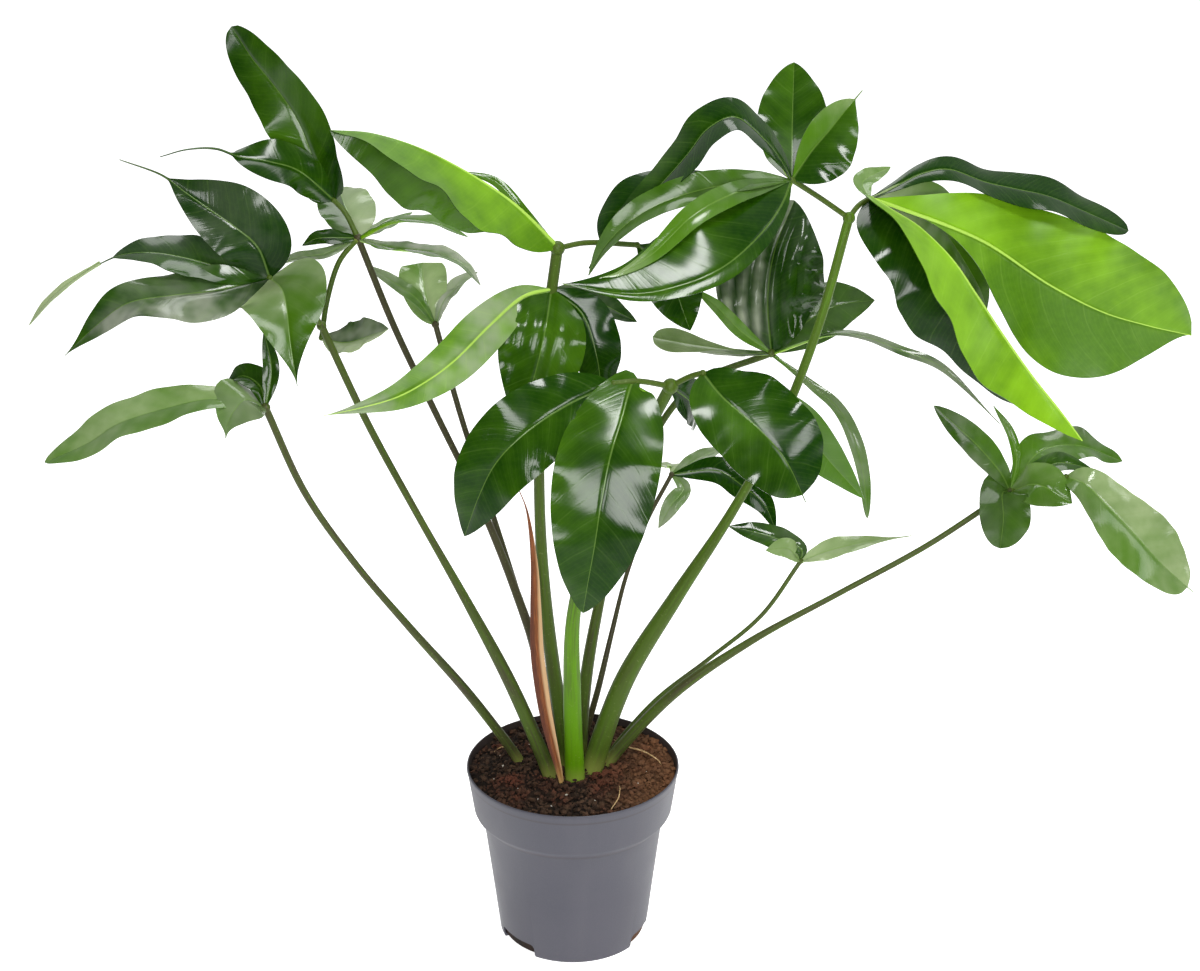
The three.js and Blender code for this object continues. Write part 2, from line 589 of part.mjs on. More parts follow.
// Even, repeatable roughness between -1 and 1
function roughness(x, y) {
  const wave = Math.sin(x * 0.31 + 1.3) * Math.cos(y * 0.27 - 0.6) + Math.sin(x * 0.83 - y * 0.71);
  return wave / 2;
}

// Soil: fills the pot to just under the rim, with a crumbed top and a hole for each stem
function soilGeometry() {
  const wall = insideWall(POT_WALL + GAP, POT_FLOOR + GAP).slice(1, 4);
  const [collarRadius, collarHeight] = wall[2];
  const slope = (RIM_RADIUS - COLLAR_FOOT_RADIUS) / (POT_HEIGHT - COLLAR_FOOT_HEIGHT);
  const edge = collarRadius + (SOIL_HEIGHT - collarHeight) * slope;
  const side = [...wall, [edge, SOIL_HEIGHT]].map(([radius, z]) => soilRing(radius, () => z));
  const top = SOIL_RINGS.map((share) => soilRing(edge * share, (x, y) => {
    return SOIL_HEIGHT + SOIL_CROWN * (1 - share * share) + SOIL_BUMP * roughness(x, y);
  }));
  let body = solid(loft([...side, ...top]));
  for (const { petiole, radius } of LEAVES) {
    body = body.subtract(hole(petiole[0], radius[0] * (1 + FLARE) + HOLE_CLEARANCE));
  }
  body = body.subtract(hole(SHEATH.midrib[1], SHEATH_HOLE));
  return geometryOf(body);
}

function soilRing(radius, heightAt) {
  const ring = [];
  for (let i = 0; i < SOIL_SIDES; i += 1) {
    const turn = (2 * Math.PI * i) / SOIL_SIDES;
    const [x, y] = [radius * Math.cos(turn), radius * Math.sin(turn)];
    ring.push(new THREE.Vector3(x, y, heightAt(x, y)));
  }
  return ring;
}

function piece(name, geometry, color, rough) {
  const material = new THREE.MeshStandardMaterial({ color, roughness: rough, metalness: 0 });
  const mesh = new THREE.Mesh(geometry, material);
  mesh.name = name;
  return mesh;
}

const plant = new THREE.Group();
plant.add(piece("pot", potGeometry(), 0x77777f, 0.55));
plant.add(piece("soil", soilGeometry(), 0x35261d, 0.95));
plant.add(piece("dried_sheath", blade(SHEATH), 0x8a4a2a, 0.7));
for (const spec of LEAVES) plant.add(piece(spec.name, leaf(spec), 0x2f5e16, 0.3));

export default plant;
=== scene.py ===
import math
import random

import bpy
import numpy as np
from mathutils import Euler, Matrix, Vector, noise


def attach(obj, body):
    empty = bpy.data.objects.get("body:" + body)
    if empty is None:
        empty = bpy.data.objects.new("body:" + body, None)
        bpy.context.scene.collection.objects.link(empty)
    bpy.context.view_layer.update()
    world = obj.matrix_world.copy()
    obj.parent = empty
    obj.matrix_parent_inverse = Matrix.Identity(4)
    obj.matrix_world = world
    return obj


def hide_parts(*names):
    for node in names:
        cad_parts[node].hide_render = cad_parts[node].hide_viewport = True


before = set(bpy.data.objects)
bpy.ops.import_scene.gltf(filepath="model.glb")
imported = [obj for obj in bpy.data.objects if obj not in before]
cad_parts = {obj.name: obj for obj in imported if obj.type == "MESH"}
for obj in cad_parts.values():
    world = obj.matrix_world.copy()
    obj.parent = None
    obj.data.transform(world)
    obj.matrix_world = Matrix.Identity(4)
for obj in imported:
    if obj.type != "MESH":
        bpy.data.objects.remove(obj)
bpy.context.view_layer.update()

MM = 0.001

# Camera at the photograph's angle
CAMERA_PLACE = (0.0244, -2.0, 1.2955)
CAMERA_DOWN = 23.2
LENS = 76.41
SENSOR = 36.0

# Studio: the floor and its glow, the surround's strength behind the camera and behind the plant, and
# the softboxes with their places, targets, sizes and powers
FLOOR_SIZE = 40
FLOOR_CENTRE = (0, 6, 0)
FLOOR_GLOW = 0.8
GLOW_EDGE = (-0.9, -0.2)
SURROUND = (0.08, 0.7)
SURROUND_EDGE = (-0.35, 0.35)
SOFTBOXES = [
  ("front_softbox", (0.04, -2.4, 1.3), (0.04, -0.1, 0.5), (0.66, 1.15), 33),
  ("front_left_softbox", (-0.72, -2.1, 1.3), (0.0, -0.1, 0.6), (0.26, 0.8), 9),
  ("front_right_softbox", (0.98, -2.1, 0.85), (0.28, -0.02, 0.68), (0.3, 0.5), 7),
  ("upper_right_softbox", (0.64, -1.09, 2.18), (0.12, -0.07, 0.66), (0.5, 0.42), 21),
  ("back_softbox", (0.1, 0.9, 2.3), (0, 0, 0.5), (1.3, 0.8), 18),
  ("right_softbox", (2.4, -0.4, 1.5), (0, 0, 0.5), (0.6, 1.2), 12),
]

# Pot, outside profile as radius and height
POT_HEIGHT = 168
POT_WALL = 1.8
POT_FLOOR = 3
POT_GAP = 0.6
BASE_RADIUS = 67
BODY_TOP = (81, 118)
COLLAR_FOOT = (89, 126)
RIM_RADIUS = 95
POT_SIDES = 160
DRAIN_ANGLES = (100, 220, 340)
DRAIN_WIDTH = 44
DRAIN_HEIGHT = 13
DRAIN_DEPTH = 11
DRAIN_ROUNDING = 4

# Soil
SOIL_HEIGHT = 163
SOIL_CROWN = 1.2
SOIL_BUMP = 1.8
SOIL_SIDES = 144
SOIL_RING_STEP = 1.7
PEAT_GRAIN = 0.16
PEAT_DROP = 1.6
PEAT_RELIEF = 2.6
PEAT_MIDDLE = 0.4
SOIL_SEED = 11
CRUMB_COUNT = 2600
CRUMB_SIZES = (1.6, 5.2)
CRUMB_SINK = 1.2
CRUMB_EDGE_GAP = 1.5
CRUMB_WIDTHS = (0.6, 1.4)
CRUMB_HEIGHTS = (0.35, 0.8)
CRUMB_TILT = 0.7
LUMP_SHAPES = 5
PERLITE_SHAPE = 9
LUMP_GRAIN = 1.4
LUMP_ROUGHNESS = 0.65
LUMP_FACES_KEPT = 0.5
# Perlite specks and pale roots on the soil: x, y and size, and x, y and height with a radius
PERLITE_SPECKS = [
  (-5, -52, 2.2), (-63, 1, 2.4), (-48, -40, 1.2), (-70, -22, 1.4), (20, -60, 1.3), (-30, -58, 1.1),
  (58, -30, 1.3), (-18, -70, 1.2), (66, -8, 1.1), (-40, 40, 1.3), (12, 62, 1.2), (-66, 18, 1.1),
]
SURFACE_ROOTS = [
  ([(37, 50, -1), (43, 43, 1.4), (50, 33, 2.2), (61, 25, 1.6), (69, 17, 2.4), (77, 9, 1.2), (80, 6, -1)],
    0.75),
  ([(41, -32, -1), (42, -40, 1.4), (41, -54, 1.8), (38, -66, 1.6), (34, -74, 0.8), (33, -77, -1)], 0.5),
  ([(-72, 30, -1), (-64, 36, 1.3), (-56, 34, 1.5), (-50, 39, -1)], 0.45),
]

# Blades
BLADE_THICKNESS = 0.6
RIB_THICKNESS = 2.4
RIB_SPREAD = 1.7
RIB_NARROWING = 0.9
STALK_WIDTH = 3.2
TIP_WIDTH = 0.5
PLAIN_BLADE = dict(fold=14, arch=0.1, wave=0.03, waves=3, twist=0, peak=0.5, full=1, uneven=0, drip=0,
                   tone=0.3, ripen=0, painted_sheen=0, pleats=0)
BLADE_RISE = 0.95
EDGE_SHIFT = 1.8
ROW_LENGTH = 2.3
LANE_WIDTH = 3.0
LANE_CROWDING = 1.45
ROUTE_SAMPLES = 40
LEAST_STEPS = 6
VEIN_SPACING = 21.0
VEIN_SLANT = 0.62
VEIN_CURVE = 1.1
GROOVE_WIDTH = 1.3
GROOVE_DEPTH = 0.55
GROOVE_FADE = 0.7
# Half widths of a blade from which its groove and its quilting are at their full depth
GROOVE_HALF = 8
QUILT_HALF = 9
QUILT = 0.07
QUILT_EDGE_FADE = 5
RIPPLE = 0.018
RIPPLE_COUNTS = (5, 8)
PLEAT_PITCH = 13.0
# Share by which the painted sheen rises and falls with the pleats, as painted streaks of reflection
PAINTED_SHEEN_IN_PLEATS = 0.4
UV_UNIT = 100.0

# Petioles and arms
FLARE = 0.1
FLARE_LENGTH = 0.1
TAPER = (0.1, 0.6)
KNOB_SHARE = 1.35
ARM_RADIUS = 2.3
ARM_KNOB_SHARE = 1.15
ARM_TONE = 0.4
STEM_GROOVE_SPREAD = 0.55
PETIOLE_GROOVE = 0.1
ROOT_GROOVE = 0.5
KNOB_SIDES = 20
KNOB_RINGS = 12
BURIED = 14
STEM_SIDES = 16
STEM_RING_STEP = 5.0
STEM_FACE = (0, -1, 0.3)
MERGE_DISTANCE = 0.00002

# Finishes
NOISE_SPAN = (0.3, 0.7)
RIB_MARK = 0.0105
RIB_MARK_NARROWING = 0.0085

# The petiole's route and its radius at foot and top, arms from the petiole's top, and leaflets.
# A leaflet grows from the petiole's top, from the end of the arm with its number or from its own start.
# A pair stands for a blade's two halves, and as a petiole's tone for its foot and top.
# A leaflet's high tone is partly a paler skin and partly painted sheen.
# A leaflet's sheen number paints a pale grey-green reflection into its skin colour.
LEAVES = [
  dict(name="leaf_01_low_left", radius=(4.4, 3), tone=0.18,
    petiole=[[-50, 12, 166], [-92, -5, 241], [-138, -27, 314], [-182, -49, 387], [-219, -72, 463],
      [-245, -90, 545]],
    leaflets=[
    dict(midrib=[[-285, -95, 555], [-320, -100, 550], [-360, -110, 540], [-385, -115, 525],
      [-420, -120, 510]], width=46, face=[0, -0.35, 1], peak=0.58, tone=(0.66, 0.78), ripen=-0.1),
    dict(midrib=[[-259, -100, 556], [-268, -108, 549], [-273, -112, 540], [-275, -114, 528]], width=58,
      face=[-0.1, -0.4, 1], fold=10, peak=0.38, full=1.2, tone=0.6, painted_sheen=0.12),
    dict(midrib=[[-250, -80, 560], [-265, -70, 565], [-280, -65, 555]], width=26, face=[0, -0.6, 1],
      fold=30, tone=0.05),
    dict(midrib=[[-240, -80, 575], [-245, -75, 605]], width=14, face=[0, -1, 0.3], tone=0.1),
    ]),
  dict(name="leaf_02_mid_left", radius=(6.2, 3.1), tone=0.26,
    petiole=[[-21, -13, 166], [-53, -13, 252], [-91, -15, 336], [-131, -19, 420], [-170, -21, 504],
      [-205, -20, 590]],
    arms=[[[-220, -40, 625], [-240, -60, 645]]],
    leaflets=[
    dict(arm=1, midrib=[[-248, -62, 671], [-264, -62, 687], [-286, -58, 702], [-304, -54, 714],
      [-324, -48, 727], [-357, -40, 737]], width=60, face=[0, -1, 0.5], peak=0.4, full=0.8, uneven=0.15,
      drip=0.26, twist=50, tone=0.1, painted_sheen=(0.05, 0.04)),
    dict(arm=1, midrib=[[-275, -60, 653], [-307, -60, 662], [-334, -62, 667], [-359, -64, 665],
      [-384, -67, 654]], width=48, face=[0, -0.4, 1], peak=0.5, full=0.9, drip=0.15, twist=25,
      tone=(0.15, 0.05), painted_sheen=(0, 0.03)),
    dict(start=[-374, -66, 660], midrib=[[-390, -68, 650], [-406, -71, 639], [-421, -73, 625],
      [-433, -74, 610]], width=9, face=[0, -0.4, 1], peak=0.55, tone=0.95),
    dict(arm=1, midrib=[[-281, -82, 642], [-315, -92, 641], [-346, -100, 638], [-369, -106, 624],
      [-398, -112, 598]], width=56, face=[0, -0.6, 1], peak=0.4, uneven=-0.1, wave=0.12, waves=1.6,
      tone=0.15, painted_sheen=(0.3, 0.1)),
    dict(arm=1, midrib=[[-229, -78, 642], [-224, -90, 631], [-221, -102, 607], [-216, -110, 571]],
      width=76, face=[0, -1, 0.8], fold=12, peak=0.2, full=0.45, tone=(0.85, 1), ripen=-0.7,
      painted_sheen=(0, 0.06)),
    ]),
  dict(name="leaf_03_high_left", radius=(4.6, 2.9), tone=0,
    petiole=[[-16, 20, 166], [-28, 24, 249], [-52, 30, 330], [-82, 39, 408], [-117, 47, 485],
      [-151, 55, 561], [-180, 60, 640]],
    arms=[[[-190, 65, 660], [-200, 70, 670]], [[-195, 40, 625], [-205, 30, 595], [-210, 20, 565]]],
    leaflets=[
    dict(arm=1, midrib=[[-215, 76, 700], [-225, 80, 727], [-235, 84, 746], [-250, 92, 765],
      [-266, 100, 783], [-276, 106, 797], [-284, 110, 809]], width=56, face=[-0.3, -0.95, 0.1], fold=18,
      peak=0.41, full=0.35, wave=0.05, waves=2, tone=(0.17, 0.13)),
    dict(arm=1, midrib=[[-226, 60, 698], [-250, 52, 709], [-274, 46, 715], [-293, 42, 723],
      [-316, 36, 724], [-337, 28, 720]], width=42, face=[0, -0.6, 0.8], peak=0.52, full=0.75, drip=0.38,
      wave=0.06, twist=60, tone=0.1),
    dict(midrib=[[-186, 75, 649], [-195, 100, 660], [-202, 125, 665]], width=50, face=[0, -0.3, 1],
      full=0.6, tone=(0.2, 0.85), painted_sheen=(0.08, 0.15)),
    dict(midrib=[[-210, 45, 645], [-225, 40, 640]], width=18, face=[0, -0.6, 1], tone=0.1),
    dict(midrib=[[-205, 35, 635], [-225, 10, 640], [-240, -10, 640]], width=12, face=[0, -0.8, 1],
      tone=0.6, painted_sheen=0.2),
    dict(midrib=[[-150, 52, 657], [-118, 42, 660], [-86, 36, 649]], width=30, face=[0, 0.1, 1], tone=0.5),
    dict(midrib=[[-150, 40, 638], [-116, 28, 638], [-90, 20, 630], [-75, 14, 614]], width=36,
      face=[0, 0.1, 1], tone=0.5, painted_sheen=(0.6, 0.2)),
    dict(midrib=[[-163, 85, 641], [-137, 105, 649]], width=22, face=[0, 0.1, 1], tone=0.5, painted_sheen=0.3),
    dict(arm=2, midrib=[[-187, 12, 564], [-152, 4, 579]], width=46, face=[0, -0.35, 1], fold=20,
      tone=(0.1, 0.95), painted_sheen=(0.4, 0.1)),
    ]),
  dict(name="leaf_04_young_left", radius=(3.6, 2.6), tone=0,
    petiole=[[-14, 36, 166], [-31, 42, 244], [-52, 51, 322], [-75, 65, 398], [-99, 85, 472],
      [-120, 110, 545]],
    leaflets=[
    dict(midrib=[[-135, 110, 568], [-154, 110, 583], [-179, 104, 602]], width=14, face=[0, -0.6, 0.8],
      tone=0.3, painted_sheen=0.25),
    dict(midrib=[[-126, 114, 562], [-130, 124, 577], [-132, 134, 594]], width=44, face=[0, -1, 0.3],
      peak=0.76, full=0.6, tone=(0.66, 0.82)),
    dict(midrib=[[-112, 105, 568], [-98, 100, 584]], width=9, face=[0, -0.8, 0.8], tone=0.3, painted_sheen=0.5),
    dict(midrib=[[-112, 118, 565], [-97, 124, 581], [-83, 126, 588]], width=20, face=[0, -0.1, 1],
      tone=0.6, painted_sheen=0.4),
    ]),
  dict(name="leaf_05_high_middle", radius=(6.6, 4.6), tone=0.4,
    petiole=[[-4, 4, 166], [-17, 0, 265], [-25, -9, 363], [-27, -19, 462], [-23, -27, 560],
      [-10, -30, 660]],
    arms=[[[15, -15, 660], [55, 10, 650]]],
    leaflets=[
    dict(midrib=[[-50, -45, 705], [-105, -60, 745], [-150, -70, 765], [-185, -75, 770]], width=106,
      face=[-0.1, -0.45, -0.9], fold=55, full=0.85, twist=50, tone=(0.33, 0.17)),
    dict(start=[-15, -30, 625], midrib=[[-39, -45, 623], [-64, -75, 610], [-91, -98, 589],
      [-114, -110, 575], [-138, -114, 563], [-168, -117, 555], [-195, -120, 550]], width=38,
      face=[0, 1, -0.2], fold=8, peak=0.4, tone=0.16, painted_sheen=0.26),
    dict(start=[-15, -30, 625], midrib=[[-20, -60, 600], [-30, -70, 560], [-45, -75, 520]], width=72,
      face=[0.1, -1, 0.5], peak=0.42, full=0.9, tone=(0.26, 0.18), pleats=0.6),
    dict(start=[-15, -30, 625], midrib=[[10, -34, 605], [22, -42, 570], [26, -44, 535]], width=46,
      face=[0.3, -1, 0.2], tone=0.05),
    dict(start=[-15, -30, 625], midrib=[[20, -15, 610], [55, -10, 590]], width=28, face=[0, -0.7, 1],
      tone=0.1, painted_sheen=0.1),
    dict(arm=1, midrib=[[80, 15, 625], [100, 10, 575]], width=48, face=[0, -1, 0.5], tone=0.1),
    dict(midrib=[[-35, 5, 675], [-60, 20, 700], [-90, 20, 710]], width=11, face=[0, -0.5, 1], tone=0.5),
    ]),
  dict(name="leaf_06_front", radius=(8.2, 4.8), tone=(1, 0.45),
    petiole=[[2, -17, 166], [0, -26, 252], [2, -45, 338], [18, -70, 420], [48, -96, 498], [80, -120, 575]],
    arms=[[[55, -135, 585], [35, -140, 585]], [[95, -125, 585], [105, -130, 590]]],
    leaflets=[
    dict(arm=1, midrib=[[0, -154, 573], [-32, -166, 555], [-56, -170, 531], [-71, -168, 500],
      [-83, -160, 463]], width=66, face=[0.1, -1, 0.65], peak=0.45, full=0.75, tone=0.08),
    dict(start=[55, -135, 585], midrib=[[49, -140, 584], [41, -162, 563], [32, -182, 539], [25, -197, 506],
      [20, -203, 473], [15, -203, 443], [11, -198, 414]], width=82, face=[0, -1, 0.5], fold=4, peak=0.42,
      full=0.6, arch=0.06, tone=(0.16, 0.22)),
    dict(arm=2, midrib=[[121, -146, 575], [147, -160, 556], [169, -168, 532], [186, -168, 496]], width=80,
      face=[0.1, -1, 0.74], peak=0.52, full=0.58, drip=0.06, tone=(0.07, 0.2)),
    dict(midrib=[[100, -100, 550], [100, -90, 525]], width=38, face=[0, -0.8, 0.8], tone=0),
    dict(arm=2, midrib=[[170, -110, 550], [215, -95, 495], [240, -90, 465]], width=40, face=[-0.2, -1, 0],
      tone=0.5),
    ]),
  dict(name="leaf_07_high_right", radius=(9, 3.9), tone=(0.38, 0.6),
    petiole=[[18, -2, 166], [46, -5, 254], [90, -4, 334], [137, -1, 413], [178, 5, 495], [208, 12, 581],
      [230, 20, 670]],
    arms=[[[205, 10, 690], [180, -5, 710]], [[238, 28, 678], [248, 36, 682]]],
    leaflets=[
    dict(arm=1, midrib=[[183, 45, 729], [185, 75, 755], [187, 100, 781]], width=62, face=[0, -1, 0.3],
      peak=0.5, full=0.8, tone=(0.2, 0.08)),
    dict(arm=1, midrib=[[196, 5, 731], [211, 12, 747], [224, 18, 762], [237, 22, 777]], width=52,
      face=[0.2, -1, 0.3], fold=24, peak=(0.6, 0.4), full=(1.2, 0.7), uneven=0.28, drip=0.1,
      tone=(0.55, 0.16), ripen=0.08),
    dict(arm=1, midrib=[[169, -10, 730], [155, -20, 749], [132, -26, 768], [110, -28, 759], [93, -26, 736],
      [66, -22, 703], [40, -20, 674], [15, -18, 639]], width=42, face=[-0.3, -0.5, 0.9], peak=0.42,
      full=0.7, tone=(0, 0.04), ripen=0.15),
    dict(arm=1, midrib=[[148, 20, 697], [114, 34, 692], [81, 40, 691], [54, 36, 684], [35, 30, 667],
      [26, 20, 648]], width=42, face=[0, -0.5, 1], peak=0.68, full=1.6, tone=0.02),
    dict(arm=1, midrib=[[138, -36, 717], [104, -44, 713], [72, -48, 703], [47, -50, 688], [28, -50, 668],
      [15, -48, 643]], width=30, face=[0, -0.7, 0.8], fold=30, tone=0.34, painted_sheen=0.06),
    dict(arm=1, midrib=[[169, -30, 694], [149, -60, 678], [121, -85, 662], [87, -100, 652],
      [48, -108, 648], [-5, -110, 657]], width=66, face=[0, -1, 0.7], fold=6, peak=0.42, uneven=0.65,
      arch=0.12, tone=(0.18, 0.14)),
    dict(arm=1, midrib=[[153, -30, 712], [129, -55, 713], [98, -75, 702], [67, -90, 676], [42, -100, 663],
      [24, -105, 660]], width=20, face=[0, -1, 0.4], peak=0.45, tone=0.25, ripen=0.4, painted_sheen=0.05),
    dict(arm=2, midrib=[[245, 60, 690], [270, 85, 695]], width=19, face=[0, -0.6, 1], tone=0.7),
    dict(arm=2, midrib=[[270, 50, 688], [293, 58, 697], [317, 64, 699], [348, 68, 687], [374, 68, 681],
      [403, 65, 675], [433, 61, 663], [470, 58, 647]], width=43, face=[0.22, -0.4, 0.9], fold=8, peak=0.68,
      full=1.1, wave=0.05, tone=0),
    dict(arm=2, midrib=[[295, 65, 670], [325, 80, 630], [350, 85, 590], [360, 90, 565]], width=46,
      face=[0.4, -1, 0.4], tone=0.95, ripen=-0.65),
    dict(arm=2, midrib=[[278, 40, 670], [312, 38, 658], [350, 36, 641], [400, 30, 609], [445, 24, 587],
      [485, 19, 576], [521, 15, 569]], width=126, face=[-0.2, 0.88, -0.42], fold=8, peak=(0.68, 0.66),
      full=(4, 1.2), twist=24, tone=(0.22, 0.38), ripen=-0.25),
    dict(arm=2, midrib=[[264, 10, 678], [285, -8, 669], [310, -20, 647], [331, -30, 619], [354, -40, 587],
      [378, -50, 556], [402, -57, 528], [421, -60, 504]], width=116, face=[-0.81, -0.38, -0.46], fold=64,
      peak=0.41, full=0.72, uneven=0.07, twist=95, tone=(0.26, 0.04)),
    ]),
  dict(name="leaf_08_small_back", radius=(3, 2), tone=0,
    petiole=[[10, 48, 166], [23, 51, 217], [35, 68, 264], [48, 94, 308], [66, 123, 348], [90, 150, 385]],
    leaflets=[
    dict(midrib=[[130, 148, 390], [154, 142, 378], [175, 138, 360], [186, 134, 336]], width=30,
      face=[0, -0.7, 0.8], tone=0, painted_sheen=0),
    dict(midrib=[[101, 142, 375], [90, 138, 360], [78, 134, 338]], width=17, face=[0, -1, 0.4], tone=0.5,
      painted_sheen=0.3),
    dict(midrib=[[115, 165, 395], [140, 180, 400]], width=16, face=[0, -0.6, 1], tone=0.5, painted_sheen=0.3),
    dict(midrib=[[96, 165, 385], [69, 180, 383]], width=28, face=[0, 0.3, 1], tone=0.9),
    ]),
  dict(name="leaf_09_far_right", radius=(5, 2.6), tone=0.24,
    petiole=[[34, 10, 166], [89, 9, 232], [158, 12, 284], [234, 17, 328], [310, 24, 371], [380, 30, 420]],
    arms=[[[405, 20, 430], [425, 15, 440]]],
    leaflets=[
    dict(midrib=[[370, 25, 440], [348, 20, 467], [327, 16, 488], [308, 14, 506]], width=26,
      face=[-0.2, -0.8, 0.8], full=0.8, tone=0.25, painted_sheen=0.15),
    dict(midrib=[[371, 14, 424], [372, 6, 405], [370, 0, 379]], width=52, face=[0, -1, 0.4], fold=32,
      full=0.65, tone=0.3, painted_sheen=0.05),
    dict(midrib=[[405, 45, 450], [440, 50, 455], [480, 50, 440]], width=38, face=[0, -0.45, 1], full=0.8,
      wave=0.1, tone=0.4, painted_sheen=(0.2, 0.12)),
    dict(midrib=[[415, 25, 448], [447, 20, 446]], width=24, face=[0, -0.4, 1], tone=0.2, painted_sheen=0.2),
    dict(midrib=[[400, 10, 435], [428, -5, 424]], width=42, face=[0, -0.9, 0.8], tone=0.6),
    dict(arm=1, midrib=[[439, 2, 439], [459, -6, 421], [482, -12, 398], [507, -18, 372], [535, -22, 348]],
      width=58, face=[0.2, -0.9, 0.8], peak=0.58, full=0.6, drip=0.05, wave=0.09, waves=1.5,
      tone=(0.8, 0.64)),
    dict(midrib=[[386, 40, 443], [381, 48, 466], [365, 52, 491]], width=9, face=[0.3, -1, 0.2], tone=0.4,
      painted_sheen=0.15),
    ]),
  dict(name="leaf_10_small_right", radius=(2.4, 2), tone=0.3,
    petiole=[[36, 28, 166], [75, 40, 210], [123, 52, 246], [170, 65, 283], [205, 80, 330]],
    leaflets=[
    dict(midrib=[[204, 80, 343], [177, 88, 351], [140, 90, 360]], width=24, face=[0, -0.7, 1], tone=0.1,
      painted_sheen=0.06),
    dict(midrib=[[192, 68, 348], [172, 60, 350]], width=20, face=[0, -0.8, 0.8], tone=0.7),
    dict(midrib=[[231, 80, 341], [264, 76, 351], [303, 74, 358]], width=25, face=[0, -0.4, 1], peak=0.3,
      tone=0.86),
    ]),
  dict(name="leaf_11_back_right", radius=(5.8, 3), tone=0.3,
    petiole=[[6, 24, 166], [12, 32, 238], [24, 44, 307], [41, 60, 377], [66, 76, 442], [107, 91, 495],
      [175, 105, 520]],
    leaflets=[
    dict(midrib=[[171, 110, 568], [177, 125, 608], [194, 140, 649]], width=98, face=[0, -1, 0.2], full=0.8,
      wave=0.09, tone=0.02, painted_sheen=(0.27, 0.03), pleats=2.2),
    dict(midrib=[[148, 90, 545], [126, 80, 571], [105, 70, 592]], width=14, face=[0.4, -1, 0.4], tone=0.6),
    dict(midrib=[[207, 130, 540], [235, 135, 554], [268, 140, 557]], width=52, face=[0, -0.9, 0.6],
      tone=0.15, painted_sheen=0.05),
    dict(midrib=[[222, 95, 541], [253, 90, 541], [286, 85, 530], [325, 80, 514], [375, 75, 465]], width=11,
      face=[0, -0.6, 1], peak=0.4, twist=120, tone=0.2, painted_sheen=0.22),
    dict(midrib=[[211, 90, 495], [233, 80, 478], [247, 70, 454], [257, 64, 418], [261, 60, 381]], width=14,
      face=[0.5, -1, 0.3], peak=0.62, tone=0.5, painted_sheen=0.2),
    dict(midrib=[[142, 85, 527], [111, 70, 534]], width=10, face=[0, -0.3, 1], tone=0.2, painted_sheen=0.3),
    dict(midrib=[[143, 110, 521], [113, 122, 521], [71, 130, 526]], width=24, face=[0, -0.8, 0.8],
      peak=0.84, full=3.2, tone=0.85),
    ]),
]

SHEATH = dict(
  midrib=[[-10, -29, 148], [-10, -29, 166], [-20, -26, 215], [-25, -25, 245], [-30, -24, 290],
    [-31, -21, 330], [-32, -20, 375], [-37, -20, 420], [-45, -20, 445]],
  width=13, face=[0, -1, 0.2], fold=25, wave=0, peak=0.4)


def colour(red, green, blue):
    """A display colour from 0 to 255 as the linear colour that a shader takes."""
    shares = [c / 255 for c in (red, green, blue)]
    linear = [c / 12.92 if c <= 0.04045 else ((c + 0.055) / 1.055) ** 2.4 for c in shares]
    return (*linear, 1.0)


def clear_selection():
    bpy.ops.object.select_all(action="DESELECT")


def pick(*pieces):
    clear_selection()
    for piece in pieces:
        piece.select_set(True)
    bpy.context.view_layer.objects.active = pieces[0]
    return pieces[0]


def edit_all(piece):
    pick(piece)
    bpy.ops.object.mode_set(mode="EDIT")
    bpy.ops.mesh.select_all(action="SELECT")


def leave_edit():
    bpy.ops.object.mode_set(mode="OBJECT")


def apply_modifier(piece, kind, **settings):
    pick(piece)
    modifier = piece.modifiers.new(kind.title(), kind)
    for key, value in settings.items():
        setattr(modifier, key, value)
    bpy.ops.object.modifier_apply(modifier=modifier.name)


def join(pieces, name):
    made = pick(*pieces)
    bpy.ops.object.join()
    made.name = made.data.name = name
    return made


def settle(piece):
    """Puts a piece's place into its mesh, so that its object sits at the origin."""
    pick(piece)
    bpy.ops.object.transform_apply(location=True, rotation=True, scale=True)


def smooth(piece, degrees):
    pick(piece)
    bpy.ops.object.shade_smooth_by_angle(angle=math.radians(degrees))


def add_number(piece, name, values):
    """Gives every point of a piece a number that its finish reads."""
    made = piece.data.attributes.new(name, "FLOAT", "POINT")
    spread = np.broadcast_to(np.asarray(values, np.float32), len(piece.data.vertices))
    made.data.foreach_set("value", spread.copy())


def places_of(piece):
    flat = np.empty(len(piece.data.vertices) * 3, np.float32)
    piece.data.vertices.foreach_get("co", flat)
    return flat.reshape(-1, 3).astype(float)


def put_places(piece, places):
    piece.data.vertices.foreach_set("co", places.astype(np.float32).ravel())
    piece.data.update()


def put_uv(piece, across, along):
    """Lays the piece's UV map from two numbers for each point."""
    corners = np.empty(len(piece.data.loops), np.int32)
    piece.data.loops.foreach_get("vertex_index", corners)
    uv = np.stack([across[corners], along[corners]], axis=1).astype(np.float32)
    piece.data.uv_layers[0].data.foreach_set("uv", uv.ravel())


# Node helpers for the finishes

def new_finish(name):
    finish = bpy.data.materials.new(name)
    finish.use_nodes = True
    return finish


def add_node(finish, kind, inputs=None, **settings):
    made = finish.node_tree.nodes.new("ShaderNode" + kind)
    for key, value in settings.items():
        setattr(made, key, value)
    for key, value in (inputs or {}).items():
        if isinstance(value, bpy.types.NodeSocket):
            finish.node_tree.links.new(value, made.inputs[key])
        else:
            made.inputs[key].default_value = value
    return made


def sums(finish, operation, *values):
    return add_node(finish, "Math", dict(enumerate(values)), operation=operation).outputs[0]


def times(finish, first, second):
    return sums(finish, "MULTIPLY", first, second)


